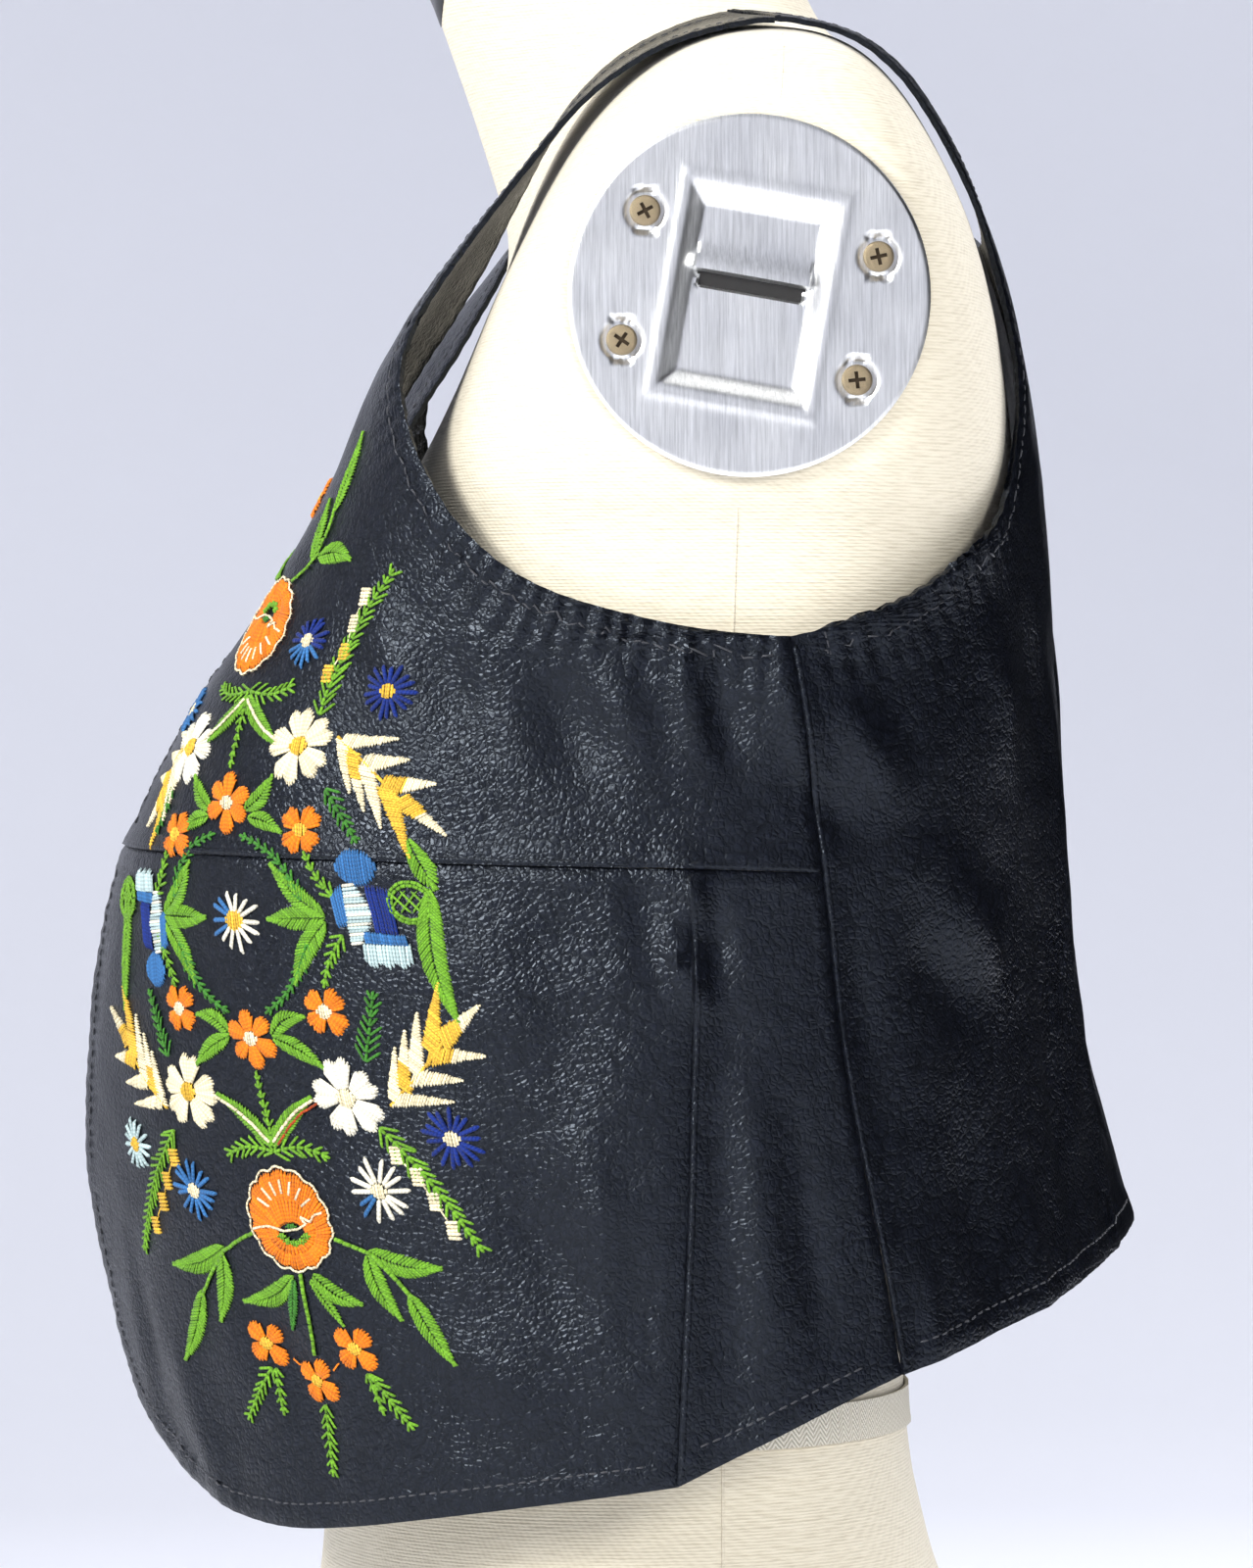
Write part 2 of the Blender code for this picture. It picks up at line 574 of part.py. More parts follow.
def make_vest(leather):
    """Both sides of the vest, the right one mirrored from the left."""
    bust_start = FRONT_NECK[0]
    bust_end = side_seam(BUST_RING, BUST_RING)(0.0)
    bust = line_curve(bust_start, bust_end)
    dart_share = (DART_SEAM[-1][0] - bust_start[0]) / (bust_end[0] - bust_start[0])
    dart_top = bust(dart_share)
    dart = table_curve(DART_SEAM[:-1] + (tuple(dart_top),))
    hem_ring, underarm_ring = SIDE_SEAM[0][1], SIDE_SEAM[-1][1]
    front_share = FRONT_SIDE_ROWS / (len(FRONT_NECK) - 1)
    back_share = BACK_SIDE_ROWS / (len(BACK_NECK) - 1)
    front_outer = cornered(side_seam(BUST_RING, underarm_ring), table_curve(FRONT_ARMHOLE), front_share)
    back_outer = cornered(side_seam(hem_ring, underarm_ring), table_curve(BACK_ARMHOLE), back_share)
    shoulder = line_curve(FRONT_NECK[-1], FRONT_ARMHOLE[-1])
    shoulder_back = line_curve(BACK_ARMHOLE[-1], BACK_NECK[-1])
    front_lower = patch_grid(
        hem_curve(CORNER_TURN, DART_SEAM[0][0]), line_curve(bust_start, dart_top), table_curve(FRONT_EDGE), dart,
        even(FRONT_COLUMNS), even(LOW_ROWS),
    )
    front_side = patch_grid(
        hem_curve(DART_SEAM[0][0], SIDE_SEAM[0][0]), line_curve(dart_top, bust_end), dart, side_seam(hem_ring, BUST_RING),
        even(SIDE_COLUMNS), even(LOW_ROWS),
    )
    front_upper = patch_grid(
        bust, shoulder, table_curve(FRONT_NECK), front_outer,
        split_parts(dart_share, (FRONT_COLUMNS, SIDE_COLUMNS)), split_parts(front_share, FRONT_MESH_ROWS),
    )
    back = patch_grid(
        hem_curve(SIDE_SEAM[0][0], 180.0), shoulder_back, back_outer, table_curve(BACK_NECK),
        even(BACK_COLUMNS), split_parts(back_share, BACK_MESH_ROWS),
    )
    for side_name, mirror in (("left", False), ("right", True)):
        make_panel("vest_front_lower_" + side_name, front_lower, ("right", "top"), leather, mirror)
        make_panel("vest_front_side_" + side_name, front_side, ("left", "right", "top"), leather, mirror)
        make_panel("vest_front_upper_" + side_name, front_upper, ("bottom", "right", "top"), leather, mirror)
        make_panel("vest_back_" + side_name, back, ("left", "right", "top"), leather, mirror)


def build():
    """Clear the scene and build the form and the vest."""
    for old in list(bpy.data.objects):
        bpy.data.objects.remove(old)
    linen = new_material("linen_cover", (0.80, 0.75, 0.62), 0.9)
    black = new_material("black_cap", (0.02, 0.02, 0.02), 0.4)
    wood = new_material("base_board", (0.55, 0.42, 0.28), 0.6)
    cotton = new_material("waist_tape", (0.78, 0.74, 0.63), 0.9)
    steel = new_material("arm_plate", (0.62, 0.62, 0.63), 0.35, 1.0)
    brass = new_material("screw_brass", (0.72, 0.58, 0.36), 0.35, 1.0)
    leather = new_material("black_leather", (0.012, 0.014, 0.020), 0.42)
    form = make_form(linen)
    make_neck_cap(black)
    make_base_board(wood)
    make_waist_tape(cotton)
    for side_name, sign in (("left", 1.0), ("right", -1.0)):
        make_arm_plate(side_name, sign, steel, form)
        make_screws(side_name, sign, brass)
    make_vest(leather)


build()
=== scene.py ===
"""Looks of a cropped leather vest with embroidered fronts, worn on a countertop dress form.

Metres, +Z up, front towards -Y, the wearer's left towards +X, as in the CAD model.
"""

import bisect
import math
import random

import bmesh
import bpy
from mathutils import Matrix, Vector, noise
from mathutils.bvhtree import BVHTree
from mathutils.kdtree import KDTree


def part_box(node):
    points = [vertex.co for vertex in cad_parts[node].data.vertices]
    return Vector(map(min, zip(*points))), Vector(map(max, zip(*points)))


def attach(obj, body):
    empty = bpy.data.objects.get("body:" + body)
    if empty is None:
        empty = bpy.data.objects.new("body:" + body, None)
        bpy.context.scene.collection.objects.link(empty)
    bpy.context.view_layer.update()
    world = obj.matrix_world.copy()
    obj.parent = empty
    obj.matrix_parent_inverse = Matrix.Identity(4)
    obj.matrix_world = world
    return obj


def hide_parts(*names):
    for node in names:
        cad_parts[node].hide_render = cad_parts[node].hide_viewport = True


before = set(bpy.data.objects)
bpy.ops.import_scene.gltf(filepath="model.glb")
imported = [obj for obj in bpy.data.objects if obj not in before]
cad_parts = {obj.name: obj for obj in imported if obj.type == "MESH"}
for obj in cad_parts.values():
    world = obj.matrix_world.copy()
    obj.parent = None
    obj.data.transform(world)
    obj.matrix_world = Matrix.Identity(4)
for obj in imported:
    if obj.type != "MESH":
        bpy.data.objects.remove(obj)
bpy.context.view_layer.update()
random.seed(7)


# Linen cover of the torso, shoulders and neck. The real one is plain-woven natural
# linen pulled tight over a hard shell, with one seam down each side.
MERGE_REACH = 0.00002


def pick(piece):
    """Select this piece alone and make it active."""
    bpy.ops.object.select_all(action="DESELECT")
    piece.select_set(True)
    bpy.context.view_layer.objects.active = piece


def shown(name, data):
    """A new object in the scene, picked."""
    piece = bpy.data.objects.new(name, data)
    bpy.context.scene.collection.objects.link(piece)
    pick(piece)
    return piece


def copied(node, name):
    """A new piece from a CAD node's mesh, its loose triangles merged."""
    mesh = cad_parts[node].data.copy()
    piece = shown(name, mesh)
    mesh.materials.clear()
    if mesh.has_custom_normals:
        bpy.ops.mesh.customdata_custom_splitnormals_clear()
    bpy.ops.object.mode_set(mode="EDIT")
    bpy.ops.mesh.select_all(action="SELECT")
    bpy.ops.mesh.remove_doubles(threshold=MERGE_REACH)
    bpy.ops.object.mode_set(mode="OBJECT")
    return piece


def finish_with(piece, kind, **settings):
    """Pick a piece and apply a modifier with these settings to it."""
    pick(piece)
    change = piece.modifiers.new(kind.lower(), kind)
    for setting, value in settings.items():
        setattr(change, setting, value)
    bpy.ops.object.modifier_apply(modifier=change.name)


def feed(socket, value):
    """Link another node's output to a socket, or set the socket's value."""
    if isinstance(value, bpy.types.NodeSocket):
        socket.id_data.links.new(value, socket)
    else:
        socket.default_value = value


def new_material(name, roughness, **inputs):
    """A node material, its tree and its Principled shader. Input names have _ for a space."""
    material = bpy.data.materials.new(name)
    material.use_nodes = True
    shader = material.node_tree.nodes["Principled BSDF"]
    shader.inputs["Roughness"].default_value = roughness
    for own, value in inputs.items():
        feed(shader.inputs[own.replace("_", " ")], value)
    return material, material.node_tree, shader


def smooth_step(low, high, value):
    """0 below low, 1 above high, eased between."""
    part = min(max((value - low) / (high - low), 0.0), 1.0)
    return part * part * (3 - 2 * part)


def add_node(tree, kind, *first, **named):
    """A node: its first inputs in their order, then other inputs and properties by name."""
    node = tree.nodes.new("ShaderNode" + kind)
    for name, value in named.items():
        socket = node.inputs.get(name.replace("_", " "))
        if socket is None:
            setattr(node, name, value)
        else:
            feed(socket, value)
    for socket, value in zip(node.inputs, first):
        feed(socket, value)
    return node


def tint(shader, value, low, high, start=0.0, end=1.0):
    """Colour a shader from low to high over a range of a value."""
    ramp = add_node(shader.id_data, "ValToRGB", value)
    for stop, place, colour in zip(ramp.color_ramp.elements, (start, end), (low, high)):
        stop.position = place
        stop.color = (*colour, 1.0)
    feed(shader.inputs["Base Color"], ramp.outputs["Color"])


def bump(shader, height, distance, strength=1.0):
    """Feed a height to a shader's normal through a Bump node."""
    node = add_node(shader.id_data, "Bump", Strength=strength, Distance=distance, Height=height)
    feed(shader.inputs["Normal"], node.outputs["Normal"])


def flecked(name, roughness, scale, detail, low, high, span=(0.0, 1.0), relief=0.0, strength=1.0, **inputs):
    """A material with colour, and relief if it has any, from one fine noise."""
    material, tree, shader = new_material(name, roughness, **inputs)
    flecks = add_node(tree, "TexNoise", Scale=scale, Detail=detail).outputs["Fac"]
    tint(shader, flecks, low, high, *span)
    if relief:
        bump(shader, flecks, relief, strength)
    return material


LINEN_LIGHT = (0.76, 0.69, 0.53)
LINEN_DARK = (0.58, 0.51, 0.37)
THREAD_PERIOD = 0.0009
# The period of Blender's wave texture at a scale of 1, straight and diagonal.
WAVE = 0.314
DIAGONAL_WAVE = 0.22

linen, tree, shader = new_material("linen_weave", 0.85, Sheen_Weight=0.25)
place = add_node(tree, "TexCoord").outputs["Object"]
weft = add_node(tree, "TexWave", place, bands_direction="Z", Scale=WAVE / THREAD_PERIOD, Distortion=1.2,
                Detail=2.0, Detail_Scale=2.5)
warp = add_node(tree, "TexWave", place, bands_direction="DIAGONAL", Scale=DIAGONAL_WAVE / THREAD_PERIOD,
                Distortion=1.0)
stretch = add_node(tree, "Mapping", place, Scale=(1.0, 1.0, 9.0))
slub = add_node(tree, "TexNoise", stretch.outputs["Vector"], Scale=160.0, Detail=3.0)
both = add_node(tree, "Mix", data_type="FLOAT", Factor=0.35, A=weft.outputs["Fac"], B=warp.outputs["Fac"])
woven = add_node(tree, "Math", both.outputs["Result"], 0.45, slub.outputs["Fac"],
                 operation="MULTIPLY_ADD").outputs["Value"]
tint(shader, woven, LINEN_DARK, LINEN_LIGHT, 0.30, 0.85)
bump(shader, woven, 0.00022)

cover = copied("form_torso", "linen_cover")
finish_with(cover, "REMESH", mode="VOXEL", voxel_size=0.0032)
finish_with(cover, "SMOOTH", factor=0.5, iterations=14)
bpy.ops.object.shade_smooth()
cover.data.materials.append(linen)
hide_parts("form_torso")
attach(cover, "root")


# Side seams of the cover. The linen is joined down each side, under and over the arm
# plates, and the turned allowance shows as one fine ridge.
def tree_of(piece):
    """A search tree of a piece's faces."""
    bpy.context.view_layer.update()
    return BVHTree.FromObject(piece, bpy.context.evaluated_depsgraph_get())


def built(name, points, faces, edges=()):
    """A new piece from points and faces, or edges."""
    mesh = bpy.data.meshes.new(name)
    mesh.from_pydata(points, edges, faces)
    return shown(name, mesh)


def tube_mesh(name, paths, sides, radius, taper=0.35, flat=1.0):
    """One piece of many slim closed strands. Each path is a list of (place, normal)."""
    vertices = []
    faces = []
    for order, path in enumerate(paths):
        start = len(vertices)
        count = len(path)
        own_radius = radius[order] if isinstance(radius, list) else radius
        for number, (spot, normal) in enumerate(path):
            before = path[max(number - 1, 0)][0]
            after = path[min(number + 1, count - 1)][0]
            along = (after - before).normalized()
            across = normal.cross(along).normalized()
            size = own_radius * (taper if number in (0, count - 1) else 1.0)
            for side in range(sides):
                turn = 2 * math.pi * side / sides
                aside = spot + across * math.cos(turn) * size
                vertices.append(aside + normal * math.sin(turn) * size * flat)
        for number in range(count - 1):
            for side in range(sides):
                nxt = (side + 1) % sides
                a = start + number * sides
                b = a + sides
                faces.append((a + side, b + side, b + nxt, a + nxt))
        faces.append([start + side for side in range(sides)])
        last = start + (count - 1) * sides
        faces.append([last + side for side in range(sides - 1, -1, -1)])
    piece = built(name, vertices, faces)
    piece.data.shade_smooth()
    return piece


# Height and distance behind the middle, up each side of the cover.
SEAM_BELOW = (
    (0.016, 0.0262), (0.10, 0.0262), (0.20, 0.0265), (0.30, 0.0272), (0.40, 0.0280), (0.468, 0.0300),
)
SEAM_ABOVE = ((0.574, 0.0415), (0.590, 0.0425), (0.600, 0.0430))
SEAM_STEP = 0.004
SEAM_RADIUS = 0.00045
SEAM_RISE = 0.00002
OUTSIDE = 0.3
cover_faces = tree_of(cover)
seam_paths = []
for side in (1.0, -1.0):
    for rows in (SEAM_BELOW, SEAM_ABOVE):
        path = []
        for (z0, y0), (z1, y1) in zip(rows, rows[1:]):
            steps = max(int((z1 - z0) / SEAM_STEP), 1)
            for step in range(steps):
                z = z0 + (z1 - z0) * step / steps
                y = y0 + (y1 - y0) * step / steps
                start = Vector((side * OUTSIDE, y, z))
                spot, normal, _, _ = cover_faces.ray_cast(start, Vector((-side, 0.0, 0.0)))
                if spot is not None:
                    path.append((spot + normal * SEAM_RISE, normal))
        seam_paths.append(path)
cover_seams = tube_mesh("cover_side_seams", seam_paths, 6, SEAM_RADIUS, flat=0.6)
cover_seams.data.materials.append(linen)
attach(cover_seams, "root")


# Neck cap: a black disc with a rounded edge, turned from gloss board, pressed on the
# sloping top of the neck.
cap = copied("form_neck_cap", "neck_cap")
finish_with(cap, "BEVEL", width=0.0012, segments=3, limit_method="ANGLE", angle_limit=math.radians(35))
bpy.ops.object.shade_smooth_by_angle(angle=math.radians(50))
cap_black = flecked("cap_black_gloss", 0.28, 60.0, 6.0, (0.010, 0.010, 0.011), (0.022, 0.022, 0.024),
                    relief=0.0001, strength=0.4)
cap.data.materials.append(cap_black)
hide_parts("form_neck_cap")
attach(cap, "root")


# Lip of the neck cap: a rounded tongue of the same gloss black board, pressed down over
# the front of the neck.
LIP_LOW = 0.6098
LIP_TOP = 0.636
LIP_SLOPE_RISE = 0.021
LIP_HALF_TURN = 52
LIP_ROWS = 6
NECK_MIDDLE_Y = -0.010
NECK_OUTSIDE = 0.2
LIP_THICKNESS = 0.0012
LIP_SHORTEST = 0.003
lip_points = []
for turn in range(-LIP_HALF_TURN, LIP_HALF_TURN + 1, 4):
    angle = math.radians(turn)
    top = LIP_TOP + LIP_SLOPE_RISE * (1 - math.cos(angle))
    share = 1 - (1 - (turn / LIP_HALF_TURN) ** 2) ** 1.5
    low = LIP_LOW + (top - LIP_SHORTEST - LIP_LOW) * share
    out = Vector((math.sin(angle), -math.cos(angle), 0.0))
    for row in range(LIP_ROWS):
        part = row / (LIP_ROWS - 1)
        z = low + (top - low) * part
        start = Vector((0.0, NECK_MIDDLE_Y, z)) + out * NECK_OUTSIDE
        spot, normal, _, _ = cover_faces.ray_cast(start, -out)
        lip_points.append(spot + normal * (0.0004 + 0.0013 * smooth_step(0.0, 1.0, part)))
lip_quads = []
for first in range(0, len(lip_points) - LIP_ROWS, LIP_ROWS):
    for a in range(first, first + LIP_ROWS - 1):
        lip_quads.append((a, a + LIP_ROWS, a + LIP_ROWS + 1, a + 1))
lip = built("neck_cap_lip", lip_points, lip_quads)
lip.data.shade_smooth()
finish_with(lip, "SOLIDIFY", thickness=LIP_THICKNESS, offset=-1.0)
lip.data.materials.append(cap_black)
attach(lip, "root")


# Base board: plywood sawn to the form's outline, its lower edge eased, tacked under the
# shell to close it.
board = copied("form_base_board", "base_board")
finish_with(board, "BEVEL", width=0.0008, segments=2, limit_method="ANGLE", angle_limit=math.radians(35))
bpy.ops.object.shade_smooth_by_angle(angle=math.radians(40))
PLY = 0.004
plywood, tree, shader = new_material("plywood_edge", 0.6)
place = add_node(tree, "TexCoord").outputs["Object"]
plies = add_node(tree, "TexWave", place, bands_direction="Z", Scale=WAVE / PLY, Distortion=0.6)
stretch = add_node(tree, "Mapping", place, Scale=(0.15, 1.0, 3.0))
fibres = add_node(tree, "TexNoise", stretch.outputs["Vector"], Scale=220.0, Detail=4.0)
grain = add_node(tree, "Math", plies.outputs["Fac"], 0.4, fibres.outputs["Fac"],
                 operation="MULTIPLY_ADD").outputs["Value"]
tint(shader, grain, (0.30, 0.20, 0.11), (0.60, 0.45, 0.28), 0.3)
bump(shader, grain, 0.0002, 0.5)
board.data.materials.append(plywood)
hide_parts("form_base_board")
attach(board, "root")


# Waist tape: a woven herringbone cotton tape, sewn round the waist of the cover to mark
# the waistline.
TAPE_RADIUS = 0.105
HERRINGBONE_COLUMN = 0.0052
HERRINGBONE_RIB = 0.0016

tape = copied("form_waist_tape", "waist_tape")
bpy.ops.object.mode_set(mode="EDIT")
bpy.ops.mesh.select_all(action="SELECT")
bpy.ops.mesh.tris_convert_to_quads(face_threshold=math.radians(60), shape_threshold=math.radians(180))
bpy.ops.mesh.select_all(action="DESELECT")
bpy.ops.mesh.edges_select_sharp(sharpness=math.radians(50))
bpy.ops.transform.edge_crease(value=1.0)
bpy.ops.object.mode_set(mode="OBJECT")
finish_with(tape, "SUBSURF", levels=2, render_levels=2)
bpy.ops.object.shade_smooth_by_angle(angle=math.radians(50))
tape_map = tape.data.uv_layers.new(name="round_the_waist")
for face in tape.data.polygons:
    middle = math.atan2(face.center.x, -face.center.y)
    for loop in face.loop_indices:
        corner = tape.data.vertices[tape.data.loops[loop].vertex_index].co
        turn = math.atan2(corner.x, -corner.y)
        turn += 2 * math.pi * round((middle - turn) / (2 * math.pi))
        tape_map.data[loop].uv = (turn * TAPE_RADIUS / HERRINGBONE_COLUMN, corner.z / HERRINGBONE_RIB)
cotton, tree, shader = new_material("herringbone_tape", 0.8)
chart = add_node(tree, "UVMap", uv_map="round_the_waist")
parts = add_node(tree, "SeparateXYZ", chart.outputs["UV"])
zigzag = add_node(tree, "Math", parts.outputs["X"], 0.5, operation="PINGPONG")
slope = add_node(tree, "Math", zigzag.outputs["Value"], 4.0, parts.outputs["Y"], operation="MULTIPLY_ADD")
ribs = add_node(tree, "Math", slope.outputs["Value"], 0.5, operation="PINGPONG").outputs["Value"]
tint(shader, ribs, (0.55, 0.50, 0.38), (0.86, 0.81, 0.68), 0.05, 0.4)
bump(shader, ribs, 0.0006)
tape.data.materials.append(cotton)
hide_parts("form_waist_tape")
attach(tape, "root")


# Arm plates: discs of brushed steel, stamped with a deep tapered socket, a slot under a
# rolled lip, and a punched dimple under each screw.
PLATE_RADIUS = 0.0489
PLATE_CELLS = 132
PLATE_Y = 0.033
PLATE_Z = 0.521
SOCKET_TURN = math.radians(10.0)
SOCKET_DEPTH = 0.0037
SOCKET_MOUTH = (0.0203, 0.0278)
SOCKET_FLOOR = (0.0158, 0.0222)
MOUTH_ROLL = 0.00045
SLOT_HALF_WIDTH = 0.0148
SLOT_HIGH = 0.0050
SLOT_DEPTH = 0.0050
ROLLED_LIP_RISE = 0.0022
DIMPLE_RADIUS = 0.0062
DIMPLE_EASE = 0.0012
DIMPLE_DEPTH = 0.0007
NOTCH_OUT = 0.0056
NOTCH_HALF = (0.0030, 0.0010)
NOTCH_DEPTH = 0.0006
PLATE_EDGE_EASE = 0.0010
PLATE_EDGE_FALL = 0.0005
PLATE_RIM = 0.0009
SCREW_PLACES = ((-0.0280, 0.0227), (0.0348, 0.0103), (-0.0343, -0.0121), (0.0290, -0.0229))


def plate_depth(right, high, ahead, up):
    """How deep the stamping is at a place on the plate, and whether the place is in the slot."""
    inward = min(
        (mouth - abs(place)) / (mouth - floor)
        for place, mouth, floor in zip((right, high), SOCKET_MOUTH, SOCKET_FLOOR)
    )
    depth = SOCKET_DEPTH * (0.5 * min(max(inward, 0.0), 1.0) + 0.5 * smooth_step(0.0, 1.0, inward))
    depth -= MOUTH_ROLL * math.exp(-((inward + 0.35) / 0.35) ** 2)
    in_slot = inward > 1 and 0 < high <= SLOT_HIGH and abs(right) < SLOT_HALF_WIDTH
    if in_slot:
        depth = SLOT_DEPTH
    elif inward > 1 and high > SLOT_HIGH:
        roll = smooth_step(SOCKET_FLOOR[1] * 0.8, SLOT_HIGH, high)
        depth -= ROLLED_LIP_RISE * roll * roll
    for place_ahead, place_up in SCREW_PLACES:
        reach = math.hypot(ahead - place_ahead, up - place_up)
        depth += DIMPLE_DEPTH * (1 - smooth_step(DIMPLE_RADIUS - DIMPLE_EASE, DIMPLE_RADIUS, reach))
        notch = abs(abs(up - place_up) - NOTCH_OUT)
        if notch < NOTCH_HALF[1] and abs(ahead - place_ahead) < NOTCH_HALF[0]:
            depth += NOTCH_DEPTH
    return depth, in_slot


steel, tree, shader = new_material("brushed_steel", 0.30, Metallic=1.0)
place = add_node(tree, "TexCoord").outputs["Object"]
brushed = add_node(tree, "Mapping", place, Rotation=(-SOCKET_TURN, 0.0, 0.0), Scale=(900.0, 1800.0, 60.0))
streaks = add_node(tree, "TexNoise", brushed.outputs["Vector"], Scale=1.0, Detail=4.0,
                   Roughness=0.65).outputs["Fac"]
smudge = add_node(tree, "TexNoise", place, Scale=55.0, Detail=3.0)
polish = add_node(tree, "MapRange", smudge.outputs["Fac"], To_Min=0.24, To_Max=0.46)
feed(shader.inputs["Roughness"], polish.outputs["Result"])
tint(shader, streaks, (0.64, 0.64, 0.62), (0.97, 0.97, 0.95), 0.3, 0.7)
bump(shader, streaks, 0.00006)
slot_black = flecked("slot_shadow", 0.7, 300.0, 2.0, (0.004, 0.004, 0.004), (0.02, 0.018, 0.016))

for side_name, side in (("left", 1.0), ("right", -1.0)):
    face_x = side * abs(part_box("form_arm_plate_" + side_name)[1 if side > 0 else 0].x)
    bpy.ops.object.select_all(action="DESELECT")
    bpy.ops.mesh.primitive_grid_add(x_subdivisions=PLATE_CELLS, y_subdivisions=PLATE_CELLS, size=2.0)
    plate = bpy.context.active_object
    plate.name = "arm_plate_" + side_name
    slot_points = set()
    for vertex in plate.data.vertices:
        a, b = vertex.co.x, vertex.co.y
        right = PLATE_RADIUS * a * math.sqrt(1 - b * b / 2)
        high = PLATE_RADIUS * b * math.sqrt(1 - a * a / 2)
        ahead = right * math.cos(SOCKET_TURN) + high * math.sin(SOCKET_TURN)
        up = high * math.cos(SOCKET_TURN) - right * math.sin(SOCKET_TURN)
        depth, in_slot = plate_depth(right, high, ahead, up)
        if in_slot:
            slot_points.add(vertex.index)
        edge = smooth_step(PLATE_RADIUS - PLATE_EDGE_EASE, PLATE_RADIUS, math.hypot(ahead, up))
        depth += PLATE_EDGE_FALL * edge
        vertex.co = Vector((face_x - side * depth, PLATE_Y + ahead, PLATE_Z + up))
    bpy.ops.object.mode_set(mode="EDIT")
    bpy.ops.mesh.select_all(action="SELECT")
    bpy.ops.mesh.region_to_loop()
    bpy.ops.mesh.extrude_region_move(TRANSFORM_OT_translate={"value": (-side * PLATE_RIM, 0.0, 0.0)})
    bpy.ops.mesh.select_all(action="SELECT")
    bpy.ops.object.mode_set(mode="OBJECT")
    plate.data.materials.append(steel)
    plate.data.materials.append(slot_black)
    for face in plate.data.polygons:
        face.material_index = 1 if all(v in slot_points for v in face.vertices) else 0
    if plate.data.polygons[0].normal.x * side < 0:
        plate.data.flip_normals()
    bpy.ops.object.shade_smooth_by_angle(angle=math.radians(55))
    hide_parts("form_arm_plate_" + side_name)
    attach(plate, "root")


# Screws: four low brass pan heads with a cross recess hold each arm plate to the form.
SCREW_RADIUS = 0.0042
SCREW_HEIGHT = 0.0014
CROSS_LENGTH = 0.0046
CROSS_WIDTH = 0.0010
CROSS_HEIGHT = 0.0016
SCREW_SUNK = 0.0004

brass = flecked("screw_brass", 0.34, 420.0, 5.0, (0.20, 0.15, 0.085), (0.46, 0.38, 0.25), (0.3, 0.7),
                relief=0.00008, Metallic=1.0)
# The cross recess gets a much darker brass: painted shade in the recess.
recess = flecked("screw_recess", 0.6, 500.0, 2.0, (0.02, 0.014, 0.008), (0.09, 0.06, 0.03), Metallic=0.6)

bpy.ops.object.select_all(action="DESELECT")
bpy.ops.mesh.primitive_cylinder_add(
    vertices=32, radius=SCREW_RADIUS, depth=SCREW_HEIGHT, location=(0.0, 0.0, 0.5 * SCREW_HEIGHT))
screw = bpy.context.active_object
bpy.ops.object.transform_apply(location=True)
screw.data.materials.append(brass)
screw.data.materials.append(recess)
finish_with(screw, "BEVEL", width=0.0007, segments=3, limit_method="ANGLE", angle_limit=math.radians(60))
for turn in (0.0, 90.0):
    bpy.ops.object.select_all(action="DESELECT")
    bpy.ops.mesh.primitive_cube_add(size=1.0, location=(0.0, 0.0, SCREW_HEIGHT))
    bar = bpy.context.active_object
    bar.scale = (CROSS_LENGTH, CROSS_WIDTH, CROSS_HEIGHT)
    bar.rotation_euler = (0.0, 0.0, math.radians(turn))
    bpy.ops.object.transform_apply(location=True, rotation=True, scale=True)
    bar.data.materials.append(brass)
    bar.data.materials.append(recess)
    for face in bar.data.polygons:
        face.material_index = 1
    finish_with(screw, "BOOLEAN", operation="DIFFERENCE", solver="EXACT", object=bar)
    bpy.data.objects.remove(bar)
screw_shape = screw.data.copy()
bpy.data.objects.remove(screw)
for side_name, side in (("left", 1.0), ("right", -1.0)):
    for number, (ahead, up) in enumerate(SCREW_PLACES, start=1):
        node = "form_screw_{}_{}".format(side_name, number)
        low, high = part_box(node)
        base_x = (low.x if side > 0 else high.x) - side * SCREW_SUNK
        spin = Matrix.Rotation(random.uniform(0.0, 1.5), 4, "Z")
        lay = Matrix.Rotation(math.radians(90.0) * side, 4, "Y")
        shape = screw_shape.copy()
        shape.transform(Matrix.Translation((base_x, PLATE_Y + ahead, PLATE_Z + up)) @ lay @ spin)
        head = shown("screw_{}_{}".format(side_name, number), shape)
        bpy.ops.object.shade_smooth_by_angle(angle=math.radians(35))
        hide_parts(node)
        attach(head, "root")


# Leather pieces of the vest: soft black leather with a crackled grain and a slight blue
# sheen. Each is cut to shape, its free edges are turned in and topstitched, and it is
# joined to the next piece with a seam pressed to one side.
WALL = 0.0020
SHELL = 0.0015
TURNED_EDGE = 0.0088
ROLL_IN = 0.0011
ROLL_SUNK = 0.0004
ROLL_RADIUS = 0.0010
TOPSTITCH_IN = 0.0072
PUCKER_LENGTH = 0.0062
CREASE_STRENGTH = 2.3
CLEARANCE = 0.0004
MEETING_HALF = 0.025
NECK_DIP = 0.5375
NECK_DIP_FILL = Vector((0.0, -0.0025, 0.0078))
PANELS = ("front_upper", "front_lower", "front_side", "back")

# At a seam, the piece with the higher number lies over the other.
OVERLAP = {"front_lower": 0, "front_side": 1, "front_upper": 2, "back": 3}
